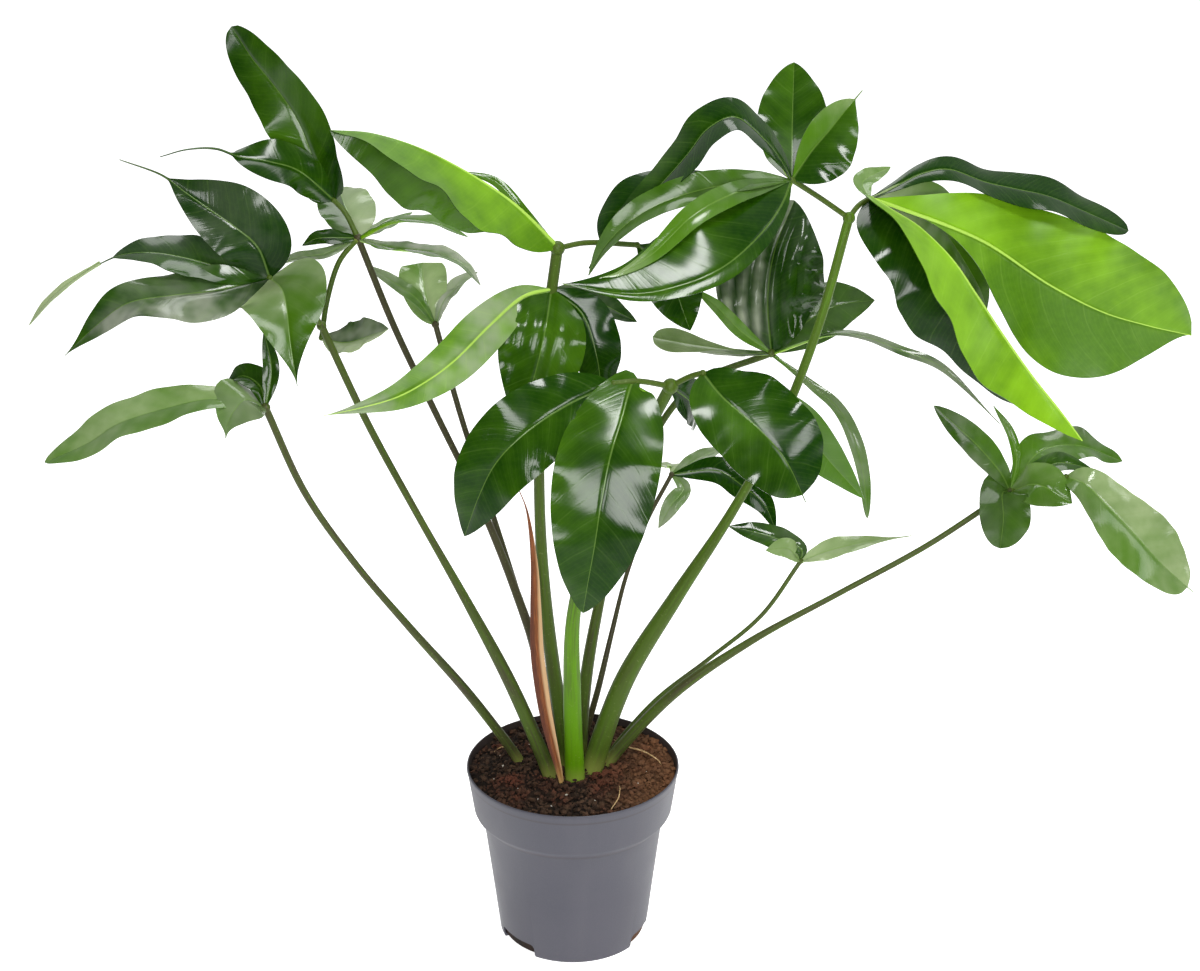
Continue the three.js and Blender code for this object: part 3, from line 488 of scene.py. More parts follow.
def ramp(finish, value, low, high, start=0.0, end=1.0):
    """A soft step from start to end as the value goes from low to high."""
    inputs = {"Value": value, "From Min": low, "From Max": high, "To Min": start, "To Max": end}
    return add_node(finish, "MapRange", inputs, interpolation_type="SMOOTHSTEP").outputs[0]


def mixed(finish, share, first, second, way="MIX"):
    inputs = {0: share, 6: first, 7: second}
    return add_node(finish, "Mix", inputs, data_type="RGBA", blend_type=way).outputs[2]


def own_place(finish):
    return add_node(finish, "TexCoord").outputs["Object"]


def map_place(finish):
    return add_node(finish, "UVMap", uv_map="UVMap").outputs[0]


def split(finish, vector):
    return add_node(finish, "SeparateXYZ", {0: vector}).outputs


def cloudy(finish, place, stretch, scale, detail, roughness=0.5):
    """Noise at a place, from about 0 to 1."""
    turned = add_node(finish, "Mapping", {"Vector": place, "Scale": stretch}).outputs[0]
    inputs = {"Vector": turned, "Scale": scale, "Detail": detail, "Roughness": roughness}
    return add_node(finish, "TexNoise", inputs).outputs[0]


def speckle(finish, scale, detail=2.0, roughness=0.5, stretch=(1, 1, 1)):
    return cloudy(finish, own_place(finish), stretch, scale, detail, roughness)


def bump(finish, height, strength, distance, under=None):
    inputs = {"Height": height, "Strength": strength, "Distance": distance}
    if under is not None:
        inputs["Normal"] = under
    return add_node(finish, "Bump", inputs).outputs[0]


def surface(finish, **inputs):
    shader = finish.node_tree.nodes["Principled BSDF"]
    for key, value in inputs.items():
        socket = shader.inputs[key.replace("_", " ")]
        if isinstance(value, bpy.types.NodeSocket):
            finish.node_tree.links.new(value, socket)
        else:
            socket.default_value = value


def number(finish, name):
    return add_node(finish, "Attribute", attribute_name=name).outputs["Fac"]


# Finishes of the leaves, the sheath, the pot, the soil and the floor

def blade_finish(name, dark, middle, pale, vein, rough, gloss, vein_share, rib_share, depth):
    """Waxy leaf skin. Across and along the blade the UV map is in tenths of a metre."""
    finish = new_finish(name)
    across, along, _ = split(finish, map_place(finish))
    away = sums(finish, "ABSOLUTE", across)
    # Midrib, drawn thinner towards the tip
    rib_width = sums(finish, "MULTIPLY_ADD", number(finish, "grow"), -RIB_MARK_NARROWING, RIB_MARK)
    rib = ramp(finish, sums(finish, "DIVIDE", away, rib_width), 0.45, 1.2, 1.0, 0.0)
    # Side veins that leave the midrib at a slant and curve forward, with fainter ones between
    curve = sums(finish, "MULTIPLY_ADD", away, VEIN_CURVE, VEIN_SLANT)
    travel = sums(finish, "SUBTRACT", along, times(finish, away, curve))
    wander = sums(finish, "MULTIPLY_ADD", speckle(finish, 14, 3), 0.12, travel)
    step = sums(finish, "PINGPONG", wander, VEIN_SPACING / UV_UNIT / 2)
    side = ramp(finish, step, 0.001, 0.011, 1.0, 0.0)
    between = sums(finish, "MULTIPLY_ADD", speckle(finish, 30, 3), 0.05, travel)
    fine = ramp(finish, sums(finish, "PINGPONG", between, 0.022), 0.0, 0.009, 1.0, 0.0)
    # Skin colour: cloudy patches around the leaflet's own tone
    patches = ramp(finish, speckle(finish, 11, 4, 0.6), 0.3, 0.72, -0.11, 0.11)
    streaks = ramp(finish, step, 0.02, 0.1, 0.015, -0.015)
    tone = sums(finish, "ADD", sums(finish, "ADD", number(finish, "tone"), patches), streaks)
    skin = mixed(finish, ramp(finish, tone, 0.0, 0.5), dark, middle)
    skin = mixed(finish, ramp(finish, tone, 0.5, 1.0), skin, pale)
    mottle = ramp(finish, speckle(finish, 240, 2), 0.35, 0.7, 0.0, 0.06)
    skin = mixed(finish, mottle, skin, middle)
    deep = ramp(finish, speckle(finish, 6.5, 3, 0.5), 0.5, 0.75, 0.0, depth)
    skin = mixed(finish, deep, skin, dark, "MULTIPLY")
    # Painted sheen: a pale grey-green reflection laid into the skin in clouds
    cloud = ramp(finish, speckle(finish, 19, 3, 0.6), 0.36, 0.64, 0.1, 2.2)
    skin = mixed(finish, times(finish, number(finish, "painted_sheen"), cloud), skin, PAINTED_SHEEN_COLOUR)
    # Veins over it, the side ones clearer in some places than in others
    clear = ramp(finish, speckle(finish, 17, 3, 0.6), 0.35, 0.65, 0.25, 1.0)
    skin = mixed(finish, times(finish, fine, vein_share * 0.3), skin, vein)
    skin = mixed(finish, times(finish, times(finish, side, clear), vein_share), skin, vein)
    skin = mixed(finish, times(finish, rib, rib_share), skin, vein)
    haze = ramp(finish, speckle(finish, 9, 4, 0.6), 0.32, 0.72, rough * 0.75, rough * 1.5)
    relief = bump(finish, speckle(finish, 800, 2), 0.06, 0.0002)
    relief = bump(finish, speckle(finish, 45, 2), 0.12, 0.0012, relief)
    relief = bump(finish, sums(finish, "MULTIPLY_ADD", fine, 0.4, side), 0.1, -0.0003, relief)
    surface(finish, Base_Color=skin, Roughness=haze, Normal=relief, Specular_IOR_Level=gloss)
    return finish


def stem_finish():
    """Petiole skin: dusky, olive or fresh green by the leaf's own tone, with streaks and a pale foot."""
    finish = new_finish("petiole_skin")
    dusky, olive, fresh = colour(60, 56, 36), colour(66, 88, 22), colour(82, 128, 0)
    streaks = cloudy(finish, map_place(finish), (8, 0.7, 1), 3.0, 4.0)
    shift = ramp(finish, streaks, *NOISE_SPAN, -0.16, 0.16)
    tone = sums(finish, "ADD", number(finish, "tone"), shift)
    skin = mixed(finish, ramp(finish, tone, 0.0, 0.45), dusky, olive)
    skin = mixed(finish, ramp(finish, tone, 0.45, 1.0), skin, fresh)
    foot = ramp(finish, number(finish, "grow"), 0.02, 0.07, 0.5, 0.0)
    skin = mixed(finish, foot, skin, colour(142, 148, 72))
    dots = ramp(finish, speckle(finish, 420, 2), 0.62, 0.74, 0.0, 0.25)
    skin = mixed(finish, dots, skin, colour(128, 142, 84))
    relief = bump(finish, streaks, 0.2, 0.0006, bump(finish, speckle(finish, 1100, 2), 0.15, 0.0002))
    rough = ramp(finish, streaks, *NOISE_SPAN, 0.38, 0.52)
    surface(finish, Base_Color=skin, Roughness=rough, Normal=relief, Specular_IOR_Level=0.2)
    return finish


def sheath_finish():
    """Dry paper: rusty fibres, dark along one edge, pale along the other as straw colour and a painted
    highlight, and straw-coloured at the foot.
    """
    finish = new_finish("dried_sheath_paper")
    fibres = cloudy(finish, map_place(finish), (60, 1.6, 1), 4.0, 5.0)
    across = split(finish, map_place(finish))[0]
    rust = mixed(finish, ramp(finish, fibres, 0.3, 0.72), colour(86, 50, 30), colour(158, 92, 48))
    dark_edge = ramp(finish, across, -0.03, 0.0, 0.75, 0.0)
    rust = mixed(finish, dark_edge, rust, colour(70, 34, 28))
    # Pale along the other edge: partly straw colour, partly a painted highlight
    pale_edge_and_highlight = ramp(finish, across, 0.008, 0.035, 0.0, 0.8)
    rust = mixed(finish, pale_edge_and_highlight, rust, colour(206, 172, 128))
    foot = ramp(finish, number(finish, "grow"), 0.0, 0.14, 0.85, 0.0)
    rust = mixed(finish, foot, rust, colour(190, 160, 96))
    relief = bump(finish, fibres, 0.5, 0.0008)
    surface(finish, Base_Color=rust, Roughness=0.62, Normal=relief, Specular_IOR_Level=0.3)
    return finish


def pot_finish():
    """Grey-lilac moulded plastic with a matt grain, with painted shade in the crease below its collar, and
    darker inside its rim above the soil as soil stain and painted shade.
    """
    finish = new_finish("grey_pot_plastic")
    grain = speckle(finish, 1500, 2)
    cloud = speckle(finish, 9, 4, 0.6)
    drawn = speckle(finish, 26, 3, 0.6, (1, 1, 0.12))
    base = mixed(finish, ramp(finish, cloud, *NOISE_SPAN), colour(63, 63, 73), colour(70, 69, 78))
    base = mixed(finish, ramp(finish, drawn, 0.45, 0.75, 0.0, 0.25), base, colour(81, 80, 87))
    base = mixed(finish, ramp(finish, grain, 0.35, 0.7, 0.0, 0.12), base, colour(93, 92, 99))
    dust = ramp(finish, speckle(finish, 130, 4, 0.65), 0.6, 0.8, 0.0, 0.22)
    base = mixed(finish, dust, base, colour(90, 87, 87))
    x, y, height = split(finish, own_place(finish))
    out = sums(finish, "SQRT", sums(finish, "MULTIPLY_ADD", x, x, times(finish, y, y)))
    # Painted shade in the crease under the collar
    crease = sums(finish, "ABSOLUTE", sums(finish, "SUBTRACT", height, (BODY_TOP[1] + 1) * MM))
    base = mixed(finish, ramp(finish, crease, 0.0006, 0.0032, 0.6, 0.0), base, colour(58, 52, 56))
    # Darker inside the rim above the soil: partly soil stain, partly painted shade
    wall = RIM_RADIUS - POT_WALL
    within = ramp(finish, out, (wall + 0.2) * MM, (wall + 0.9) * MM, 1.0, 0.0)
    above = ramp(finish, height, (SOIL_HEIGHT - 4.5) * MM, (SOIL_HEIGHT - 3.5) * MM)
    base = mixed(finish, times(finish, within, above), base, colour(52, 44, 42))
    relief = bump(finish, grain, 0.22, 0.00025)
    rough = ramp(finish, cloud, *NOISE_SPAN, 0.44, 0.56)
    surface(finish, Base_Color=base, Roughness=rough, Normal=relief, Specular_IOR_Level=0.35)
    return finish


def soil_finish(name, low, high, warm):
    """Damp peat or bark with warm patches, paler in patches towards the right."""
    finish = new_finish(name)
    base = mixed(finish, ramp(finish, speckle(finish, 150, 4, 0.6), *NOISE_SPAN), low, high)
    base = mixed(finish, ramp(finish, speckle(finish, 34, 2), 0.45, 0.75, 0.0, 0.8), base, warm)
    side = split(finish, own_place(finish))[0]
    paler_right = times(finish, ramp(finish, side, 0.015, 0.08), speckle(finish, 60, 3))
    base = mixed(finish, paler_right, base, colour(130, 88, 58))
    relief = bump(finish, speckle(finish, 700, 4, 0.7), 0.8, 0.0012)
    surface(finish, Base_Color=base, Roughness=0.9, Normal=relief, Specular_IOR_Level=0.2)
    return finish


def pale_bit_finish(name, low, high):
    finish = new_finish(name)
    base = mixed(finish, ramp(finish, speckle(finish, 500, 3), 0.35, 0.7), low, high)
    relief = bump(finish, speckle(finish, 1500, 3), 0.6, 0.0005)
    surface(finish, Base_Color=base, Roughness=0.8, Normal=relief)
    return finish


def floor_finish():
    """White floor that is grey near the camera and glows under and behind the plant."""
    finish = new_finish("studio_floor")
    white, dull, grey = (0.9, 0.9, 0.9, 1), (0.88, 0.88, 0.88, 1), (0.5, 0.5, 0.5, 1)
    base = mixed(finish, ramp(finish, speckle(finish, 3, 2), *NOISE_SPAN), dull, white)
    depth = split(finish, own_place(finish))[1]
    base = mixed(finish, ramp(finish, depth, *GLOW_EDGE, 1.0, 0.0), base, grey)
    glow = ramp(finish, depth, *GLOW_EDGE, 0.0, FLOOR_GLOW)
    surface(finish, Base_Color=base, Roughness=0.9, Specular_IOR_Level=0.0,
            Emission_Color=(1, 1, 1, 1), Emission_Strength=glow)
    return finish


# Colour of the painted sheen on the leaflets
PAINTED_SHEEN_COLOUR = colour(150, 156, 138)
# Upper skin: its pale grey-green end is partly a paler skin and partly painted sheen.
LEAF_TOP = blade_finish(
    "leaf_upper_skin", colour(12, 46, 0), colour(66, 106, 14), colour(150, 166, 122),
    vein=colour(104, 136, 60), rough=0.13, gloss=0.28, vein_share=0.1, rib_share=0.45, depth=0.35)
# Lower skin: lighter green, and partly brightened as painted light that shines through the blade.
LEAF_UNDER = blade_finish(
    "leaf_lower_skin", colour(64, 106, 2), colour(124, 174, 22), colour(156, 188, 106),
    vein=colour(168, 206, 84), rough=0.38, gloss=0.22, vein_share=0.07, rib_share=0.8, depth=0.3)
STEM_SKIN = stem_finish()
SHEATH_PAPER = sheath_finish()
POT_PLASTIC = pot_finish()
SOIL_BED = soil_finish("dark_peat", colour(20, 14, 10), colour(42, 30, 22), colour(56, 32, 22))
SOIL_BARK = soil_finish("bark_crumb", colour(30, 21, 15), colour(76, 56, 42), colour(92, 50, 36))
PERLITE = pale_bit_finish("perlite_speck", colour(168, 160, 148), colour(222, 218, 208))
ROOT_SKIN = pale_bit_finish("pale_root", colour(150, 116, 74), colour(206, 176, 128))


# Routes and blades

def unit(vectors):
    return vectors / np.linalg.norm(vectors, axis=-1, keepdims=True)


def route(points, spacing):
    """Places at even distances along a smooth curve through the points, with directions and the length."""
    knots = np.array(points, float)
    ends = np.vstack([2 * knots[0] - knots[1], knots, 2 * knots[-1] - knots[-2]])
    t = np.linspace(0, 1, ROUTE_SAMPLES, endpoint=False)[:, None]
    spans = []
    for before, start, end, after in zip(ends, ends[1:], ends[2:], ends[3:]):
        leave, arrive = (end - before) / 2, (after - start) / 2
        spans.append((2 * t ** 3 - 3 * t ** 2 + 1) * start + (t ** 3 - 2 * t ** 2 + t) * leave
                     + (3 * t ** 2 - 2 * t ** 3) * end + (t ** 3 - t ** 2) * arrive)
    dense = np.vstack(spans + [knots[-1:]])
    travelled = np.concatenate([[0], np.cumsum(np.linalg.norm(np.diff(dense, axis=0), axis=1))])
    steps = max(LEAST_STEPS, round(travelled[-1] / spacing))
    even = np.linspace(0, travelled[-1], steps + 1)
    places = np.stack([np.interp(even, travelled, dense[:, i]) for i in range(3)], axis=1)
    return places, unit(np.gradient(places, axis=0)), travelled[-1]


def square_to(direction, tangent):
    return unit(direction - tangent * np.dot(direction, tangent))


def upper_sides(tangents, face, twist):
    """For each row of a blade the way that its upper side faces, and the way across it."""
    steps = len(tangents) - 1
    ups = np.zeros_like(tangents)
    middle = steps // 2
    ups[middle] = square_to(np.array(face, float), tangents[middle])
    for k in range(middle + 1, steps + 1):
        ups[k] = square_to(ups[k - 1], tangents[k])
    for k in range(middle - 1, -1, -1):
        ups[k] = square_to(ups[k + 1], tangents[k])
    turn = np.radians(twist) * (np.linspace(0, 1, steps + 1) - 0.5)[:, None]
    ups = ups * np.cos(turn) + np.cross(tangents, ups) * np.sin(turn)
    return ups, np.cross(tangents, ups)


def half_width(along, width, peak, full, drip):
    rise = BLADE_RISE * full
    fall = rise * (1 - peak) / peak
    greatest = peak ** rise * (1 - peak) ** fall
    body = np.minimum(along / (1 - drip), 1)
    outline = body ** rise * (1 - body) ** fall / greatest
    least = STALK_WIDTH + (TIP_WIDTH - STALK_WIDTH) * along ** 2
    return np.maximum(width * outline, np.minimum(least, width)) / 2


def vein_relief(across, along):
    """Height of the skin between side veins, from 0 on a vein to 1 midway to the next."""
    away = np.abs(across)
    travel = along - away * (VEIN_SLANT + VEIN_CURVE * away / UV_UNIT)
    return 0.5 - 0.5 * np.cos(2 * np.pi * travel / VEIN_SPACING)


def grid(name, across, along):
    """A flat grid of faces, with each point's share across and along it."""
    clear_selection()
    bpy.ops.mesh.primitive_grid_add(x_subdivisions=across, y_subdivisions=along, size=1)
    made = bpy.context.object
    made.name = name
    flat = places_of(made)
    return made, flat[:, 0] * 2, flat[:, 1] + 0.5


def edge_height(spec, s, half, along, seed):
    """Rise of a blade's skin away from its midrib: fold, waves, arch and a ripple by a seeded draw."""
    fold = math.radians(spec["fold"])
    later = np.where(s < 0, EDGE_SHIFT, 0)
    swing = np.sin(2 * np.pi * spec["waves"] * along + later)
    draw = random.Random(seed)
    count = draw.uniform(*RIPPLE_COUNTS)
    ripple = np.sin(2 * np.pi * count * along + np.where(s < 0, draw.uniform(0, 6), 0))
    height = half * math.cos(fold) * np.abs(s) * math.tan(fold)
    height += half * s * s * (2 * spec["wave"] * swing - spec["arch"])
    return height + RIPPLE * half * s * s * ripple


def thicken(made, across, along):
    """Gives a blade its wall, with the midrib standing out below as the thick part of it."""
    rib = np.exp(-(across / (RIB_SPREAD - RIB_NARROWING * along)) ** 2) * (1 - along) ** 0.8
    thickness = BLADE_THICKNESS + (RIB_THICKNESS - BLADE_THICKNESS) * rib
    group = made.vertex_groups.new(name="thickness")
    for index, share in enumerate(thickness / RIB_THICKNESS):
        group.add([index], share, "REPLACE")
    apply_modifier(made, "SOLIDIFY", thickness=RIB_THICKNESS * MM, offset=-1, vertex_group="thickness",
                   use_even_offset=False, material_offset=1, material_offset_rim=0)
    made.vertex_groups.clear()


def blade(name, leaflet, seed):
    """One leaflet: a grid laid along its midrib, curved, veined and given a wall."""
    spec = {**PLAIN_BLADE, **leaflet}
    places, tangents, length = route(spec["midrib"], ROW_LENGTH)
    rows = len(places) - 1
    lanes = 2 * max(4, round(spec["width"] / 2 / LANE_WIDTH) + 2)
    made, lane, along = grid(name, lanes, rows)
    row = np.rint(along * rows).astype(int)
    along = row / rows
    s = np.sign(lane) * np.abs(lane) ** LANE_CROWDING
    ups, sides = upper_sides(tangents, spec["face"], spec["twist"])
    # These may be a pair, for the two halves of the blade
    peak, full, tone, painted_sheen = (np.where(s < 0, *np.broadcast_to(spec[key], 2))
                               for key in ("peak", "full", "tone", "painted_sheen"))
    half = half_width(along, spec["width"], peak, full, spec["drip"]) * (1 + spec["uneven"] * np.sign(s))
    across = half * math.cos(math.radians(spec["fold"])) * s
    groove = np.exp(-(across / GROOVE_WIDTH) ** 2)
    skin = np.clip(half / QUILT_HALF, 0, 1) * np.clip((1 - np.abs(s)) * QUILT_EDGE_FADE, 0, 1)
    pleats = spec["pleats"] * np.sin(2 * np.pi * across / PLEAT_PITCH) * np.sin(np.pi * along ** 0.7)
    height = edge_height(spec, s, half, along, seed)
    height += QUILT * skin * vein_relief(across, along * length) * (1 - groove)
    height += pleats * skin
    height -= GROOVE_DEPTH * groove * np.clip(half / GROOVE_HALF, 0, 1) * (1 - GROOVE_FADE * along)
    put_places(made, (places[row] + sides[row] * across[:, None] + ups[row] * height[:, None]) * MM)
    put_uv(made, across / UV_UNIT, along * length / UV_UNIT)
    add_number(made, "grow", along)
    add_number(made, "tone", tone + spec["ripen"] * along)
    # Painted sheen, in stripes along the pleats
    add_number(made, "painted_sheen", painted_sheen * (1 + PAINTED_SHEEN_IN_PLEATS * pleats))
    made.data.materials.append(LEAF_TOP)
    made.data.materials.append(LEAF_UNDER)
    thicken(made, across, along)
    smooth(made, 50)
    return made


def stem(name, points, radius_at, tone, depth=0.0):
    """A round stem from a grid that is wrapped around a route, with a groove of that depth in front."""
    places, tangents, length = route(points, STEM_RING_STEP)
    rings = len(places) - 1
    made, turn, along = grid(name, STEM_SIDES, rings)
    ring = np.rint(along * rings).astype(int)
    along = ring / rings
    ups, sides = upper_sides(tangents, STEM_FACE, 0)
    angle = np.pi * turn
    radius = radius_at(along)
    groove = 1 - depth * np.exp(-(angle / STEM_GROOVE_SPREAD) ** 2)
    out = sides[ring] * np.sin(angle)[:, None] + ups[ring] * np.cos(angle)[:, None]
    put_places(made, (places[ring] + out * (radius * groove)[:, None]) * MM)
    put_uv(made, turn / 2 + 0.5, along * length / UV_UNIT)
    add_number(made, "grow", along)
    at_foot, at_top = np.broadcast_to(tone, 2)
    add_number(made, "tone", at_foot + (at_top - at_foot) * along)
    edit_all(made)
    bpy.ops.mesh.remove_doubles(threshold=MERGE_DISTANCE)
    bpy.ops.mesh.fill_holes(sides=0)
    bpy.ops.mesh.select_all(action="SELECT")
    bpy.ops.mesh.normals_make_consistent(inside=False)
    leave_edit()
    made.data.materials.append(STEM_SKIN)
    smooth(made, 60)
    return made


def knob(name, place, radius, tone):
    """The thick joint at the end of a petiole or an arm."""
    clear_selection()
    bpy.ops.mesh.primitive_uv_sphere_add(segments=KNOB_SIDES, ring_count=KNOB_RINGS, radius=radius * MM,
                                         location=[c * MM for c in place])
    made = bpy.context.object
    made.name = name
    settle(made)
    add_number(made, "grow", 1.0)
    add_number(made, "tone", tone)
    made.data.materials.append(STEM_SKIN)
    smooth(made, 60)
    return made


def leaf(spec):
    """One whole leaf, joined from its petiole, its arms and its leaflets."""
    name = spec["name"]
    foot, top = spec["radius"]
    tone = spec["tone"]
    petiole = spec["petiole"]
    # It starts below the soil, straight under the first point of its route
    x, y, z = petiole[0]
    visible = route(petiole, STEM_RING_STEP)[2]

    def radius_at(along):
        seen = np.clip(along * (visible + BURIED) / visible - BURIED / visible, 0, 1)
        share = np.clip((seen - TAPER[0]) / (TAPER[1] - TAPER[0]), 0, 1)
        slim = share * share * (3 - 2 * share)
        return (foot + (top - foot) * slim) * (1 + FLARE * np.maximum(0, 1 - seen / FLARE_LENGTH))

    def arm_radius_at(along):
        return np.full_like(along, ARM_RADIUS)

    growth = [petiole[-1]]
    parts = [
        stem(name + "_petiole", [[x, y, z - BURIED], *petiole], radius_at, tone, PETIOLE_GROOVE),
        knob(name + "_knob", petiole[-1], top * KNOB_SHARE, np.broadcast_to(tone, 2)[1]),
    ]
    for i, arm in enumerate(spec.get("arms", [])):
        parts.append(stem(f"{name}_arm_{i}", [petiole[-1], *arm], arm_radius_at, ARM_TONE))
        parts.append(knob(f"{name}_arm_knob_{i}", arm[-1], ARM_RADIUS * ARM_KNOB_SHARE, ARM_TONE))
        growth.append(arm[-1])
    for i, leaflet in enumerate(spec["leaflets"]):
        start = leaflet.get("start", growth[leaflet.get("arm", 0)])
        midrib = [start, *leaflet["midrib"]]
        parts.append(blade(f"{name}_blade_{i}", {**leaflet, "midrib": midrib}, f"{name} {i}"))
    made = join(parts, name + "_grown")
    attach(made, "root")
    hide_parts(name)


# Pot and soil

def lathe(name, profile, sides):
    """A turned piece: a disc that is extruded and resized ring by ring along its profile."""
    clear_selection()
    radius, z = profile[0]
    bpy.ops.mesh.primitive_circle_add(vertices=sides, radius=radius * MM, fill_type="NGON",
                                      location=(0, 0, z * MM))
    made = bpy.context.object
    made.name = name
    edit_all(made)
    for (r0, z0), (r1, z1) in zip(profile, profile[1:]):
        bpy.ops.mesh.extrude_region_move(TRANSFORM_OT_translate={"value": (0, 0, (z1 - z0) * MM)})
        bpy.ops.transform.resize(value=(r1 / r0, r1 / r0, 1), center_override=(0, 0, z1 * MM))
    bpy.ops.mesh.select_all(action="SELECT")
    bpy.ops.mesh.normals_make_consistent(inside=False)
    leave_edit()
    settle(made)
    return made


def drain_cutter(angle):
    """A rounded block that cuts one drain opening where the wall meets the base."""
    clear_selection()
    turn = math.radians(angle)
    place = (BASE_RADIUS * math.cos(turn) * MM, BASE_RADIUS * math.sin(turn) * MM, 0)
    bpy.ops.mesh.primitive_cube_add(size=1, location=place, rotation=(0, 0, turn),
                                    scale=(DRAIN_DEPTH * 2 * MM, DRAIN_WIDTH * MM, DRAIN_HEIGHT * 2 * MM))
    cutter = bpy.context.object
    settle(cutter)
    apply_modifier(cutter, "BEVEL", width=DRAIN_ROUNDING * MM, segments=5, limit_method="ANGLE")
    return cutter


def pot():
    """A thin shell turned from its outside and inside profile, with its drain openings cut."""
    body, collar = BODY_TOP, COLLAR_FOOT
    outside = [
        (BASE_RADIUS - 3, 0), (BASE_RADIUS - 1, 0.6), (BASE_RADIUS, 3),
        (BASE_RADIUS + 7, 62), (body[0] - 0.3, body[1] - 1.6), (body[0] + 0.6, body[1] + 0.2),
        (collar[0] - 0.9, collar[1] - 1.2), (collar[0], collar[1] + 0.9),
        (RIM_RADIUS - 0.5, POT_HEIGHT - 3.4), (RIM_RADIUS, POT_HEIGHT - 2.2),
        (RIM_RADIUS - 0.2, POT_HEIGHT - 0.6), (RIM_RADIUS - 0.9, POT_HEIGHT),
        (RIM_RADIUS - POT_WALL + 0.3, POT_HEIGHT - 0.2),
        (RIM_RADIUS - POT_WALL, POT_HEIGHT - 1.4),
    ]
    inside = [
        (collar[0] - POT_WALL, collar[1] + POT_WALL), (body[0] - POT_WALL, body[1] + POT_WALL),
        (BASE_RADIUS - POT_WALL, POT_FLOOR),
    ]
    made = lathe("pot_moulded", outside + inside, POT_SIDES)
    for angle in DRAIN_ANGLES:
        cutter = drain_cutter(angle)
        apply_modifier(made, "BOOLEAN", object=cutter, operation="DIFFERENCE", solver="EXACT")
        bpy.data.objects.remove(cutter)
    made.data.materials.append(POT_PLASTIC)
    smooth(made, 32)
    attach(made, "root")
    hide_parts("pot")


def roughness(x, y):
    """Soft bumps of the soil, as in its solid, from -1 to 1."""
    return (math.sin(x * 0.31 + 1.3) * math.cos(y * 0.27 - 0.6) + math.sin(x * 0.83 - y * 0.71)) / 2


def soil_edge():
    """Radius of the soil's top where it meets the pot's wall."""
    slope = (RIM_RADIUS - COLLAR_FOOT[0]) / (POT_HEIGHT - COLLAR_FOOT[1])
    inset = POT_WALL + POT_GAP
    return COLLAR_FOOT[0] - inset + (SOIL_HEIGHT - COLLAR_FOOT[1] - inset) * slope


def soil_height(x, y):
    share = min(1.0, math.hypot(x, y) / soil_edge())
    return SOIL_HEIGHT + SOIL_CROWN * (1 - share ** 2) + SOIL_BUMP * roughness(x, y)


def soil_bed():
    """The peat under the crumbs: a turned body whose top rings are raised by noise."""
    edge = soil_edge()
    inset = POT_WALL + POT_GAP
    wall = [(BASE_RADIUS - inset, POT_FLOOR + POT_GAP), (BODY_TOP[0] - inset, BODY_TOP[1] + inset),
            (COLLAR_FOOT[0] - inset, COLLAR_FOOT[1] + inset), (edge, SOIL_HEIGHT - 1.5)]
    count = int(edge / SOIL_RING_STEP)
    top = [(edge - 0.2 - i * SOIL_RING_STEP, SOIL_HEIGHT - 0.5) for i in range(count)]
    made = lathe("soil_bed", wall + top, SOIL_SIDES)
    places = places_of(made) / MM
    for p in places:
        if p[2] > SOIL_HEIGHT - 1:
            rough = noise.turbulence(Vector((p[0], p[1], 0)) * PEAT_GRAIN, 4, False,
                                     noise_basis="PERLIN_ORIGINAL")
            p[2] = soil_height(p[0], p[1]) - PEAT_DROP + PEAT_RELIEF * (rough - PEAT_MIDDLE)
    put_places(made, places * MM)
    made.data.materials.append(SOIL_BED)
    smooth(made, 180)
    return made


def scattered(name, shapes, spots, draw, finish):
    """Copies of a few lumps, each turned and sized by a seeded draw, joined in one piece."""
    copies = []
    for x, y, z, size in spots:
        source = draw.choice(shapes)
        made = source.copy()
        made.data = source.data.copy()
        bpy.context.collection.objects.link(made)
        widths = [size * draw.uniform(*CRUMB_WIDTHS) for _ in range(2)]
        stretch = widths + [size * draw.uniform(*CRUMB_HEIGHTS)]
        tilts = [draw.uniform(-CRUMB_TILT, CRUMB_TILT) for _ in range(2)]
        turn = Euler(tilts + [draw.uniform(0, 6.3)])
        made.data.transform(Matrix.LocRotScale(Vector((x, y, z)) * MM, turn, Vector(stretch) * MM / 2))
        copies.append(made)
    for source in shapes:
        bpy.data.objects.remove(source)
    made = join(copies, name)
    made.data.materials.clear()
    made.data.materials.append(finish)
    smooth(made, 35)
    return made


def lump(seed):
    """One rough crumb of unit size."""
    clear_selection()
    bpy.ops.mesh.primitive_ico_sphere_add(subdivisions=2, radius=1)
    made = bpy.context.object
    for vertex in made.data.vertices:
        shift = noise.noise(vertex.co * LUMP_GRAIN + Vector((seed * 7.3, seed, 0)))
        vertex.co *= 1 + LUMP_ROUGHNESS * shift
    apply_modifier(made, "DECIMATE", ratio=LUMP_FACES_KEPT)
    return made


def crumb_spots(draw):
    """Places and sizes of the crumbs, spread evenly over the soil, most of them small."""
    smallest, largest = CRUMB_SIZES
    reach = soil_edge() - CRUMB_EDGE_GAP
    spots = []
    for _ in range(CRUMB_COUNT):
        radius = reach * math.sqrt(draw.random())
        turn = draw.uniform(0, 2 * math.pi)
        x, y = radius * math.cos(turn), radius * math.sin(turn)
        size = smallest + (largest - smallest) * draw.random() ** 2.2
        spots.append((x, y, soil_height(x, y) - CRUMB_SINK + 0.25 * size, size))
    return spots


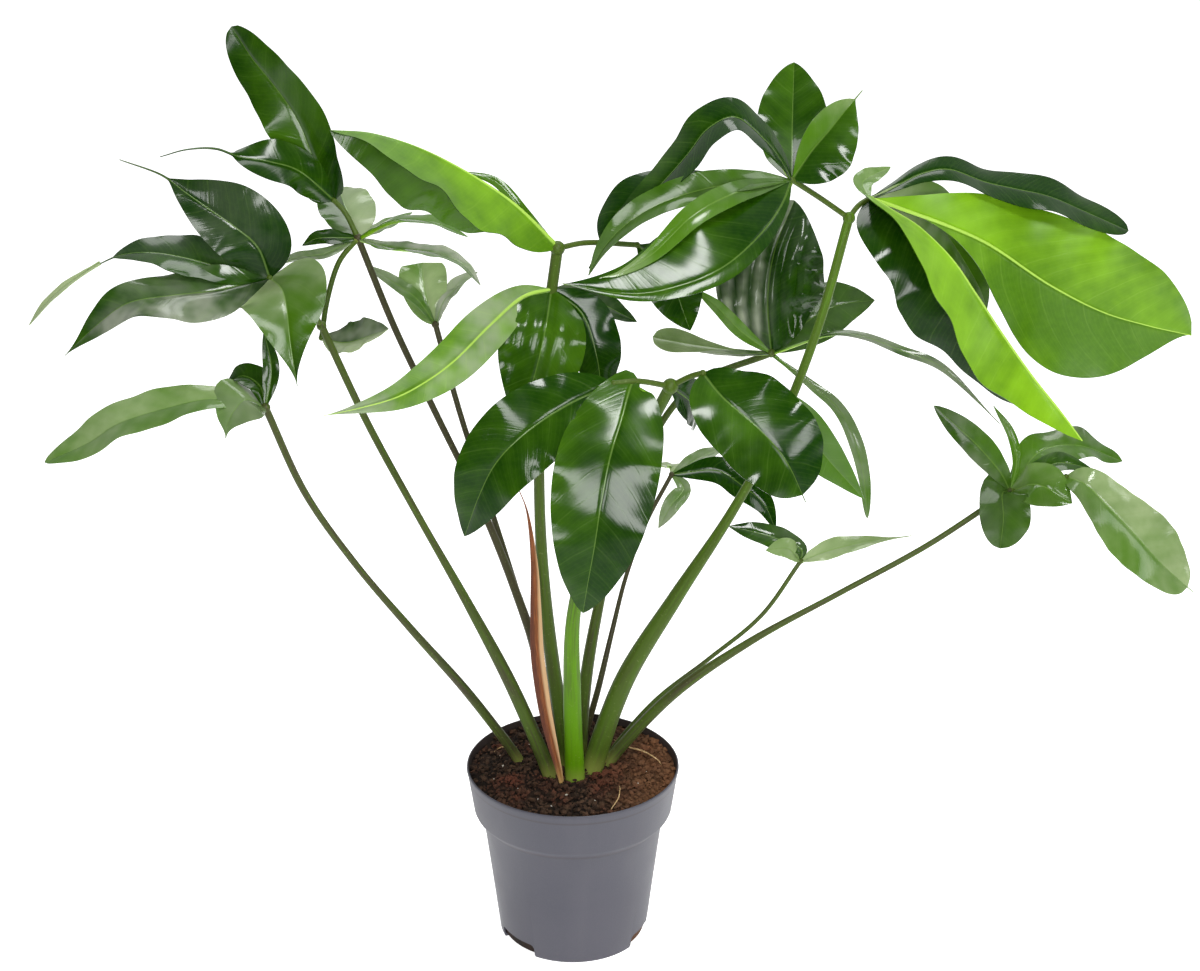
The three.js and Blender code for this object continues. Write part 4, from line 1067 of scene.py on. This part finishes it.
def surface_roots():
    """Thin pale roots that come up from the peat and go back in, joined in one piece."""
    roots = []
    for points, radius in SURFACE_ROOTS:
        lifted = [(x, y, soil_height(x, y) + up) for x, y, up in points]
        root = stem("root", lifted, lambda along, r=radius: r * (1 - 0.6 * np.abs(2 * along - 1) ** 3),
                    ROOT_GROOVE)
        root.data.materials.clear()
        root.data.materials.append(ROOT_SKIN)
        roots.append(root)
    return join(roots, "surface_roots")


def soil():
    draw = random.Random(SOIL_SEED)
    bed = soil_bed()
    lumps = [lump(seed) for seed in range(LUMP_SHAPES)]
    crumbs = scattered("bark_crumbs", lumps, crumb_spots(draw), draw, SOIL_BARK)
    specks = [(x, y, soil_height(x, y) + 0.6, size) for x, y, size in PERLITE_SPECKS]
    perlite = scattered("perlite_specks", [lump(PERLITE_SHAPE)], specks, draw, PERLITE)
    for piece in (bed, crumbs, perlite, surface_roots()):
        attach(piece, "root")
    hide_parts("soil")


def sheath():
    """The dried strip that once wrapped a young leaf, made as a plain narrow blade."""
    made = blade("dried_sheath_strip", SHEATH, "sheath")
    made.data.materials.clear()
    made.data.materials.append(SHEATH_PAPER)
    for face in made.data.polygons:
        face.material_index = 0
    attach(made, "root")
    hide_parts("dried_sheath")


# Studio

def floor():
    clear_selection()
    bpy.ops.mesh.primitive_plane_add(size=FLOOR_SIZE, location=FLOOR_CENTRE)
    made = bpy.context.object
    made.name = "studio_floor"
    settle(made)
    made.data.materials.append(floor_finish())


def surround():
    """A pale world behind the plant and a dim one behind the camera."""
    world = bpy.data.worlds.new("soft_daylight")
    bpy.context.scene.world = world
    world.use_nodes = True
    way = add_node(world, "TexCoord").outputs["Generated"]
    back = world.node_tree.nodes["Background"]
    back.inputs["Color"].default_value = (1, 1, 1, 1)
    strength = ramp(world, split(world, way)[1], *SURROUND_EDGE, *SURROUND)
    world.node_tree.links.new(strength, back.inputs["Strength"])


def softboxes():
    for name, place, target, size, power in SOFTBOXES:
        bpy.ops.object.light_add(type="AREA", location=place)
        light = bpy.context.object
        light.name = name
        light.data.shape = "RECTANGLE"
        light.data.size, light.data.size_y = size
        light.data.energy = power
        light.rotation_euler = (Vector(target) - Vector(place)).to_track_quat("-Z", "Y").to_euler()


def camera():
    bpy.ops.object.camera_add(location=CAMERA_PLACE, rotation=(math.radians(90 - CAMERA_DOWN), 0, 0))
    made = bpy.context.object
    made.data.lens = LENS
    made.data.sensor_width = SENSOR
    bpy.context.scene.camera = made
    bpy.context.scene.view_settings.view_transform = "Standard"


floor()
surround()
softboxes()
camera()
pot()
soil()
sheath()
for leaf_spec in LEAVES:
    leaf(leaf_spec)
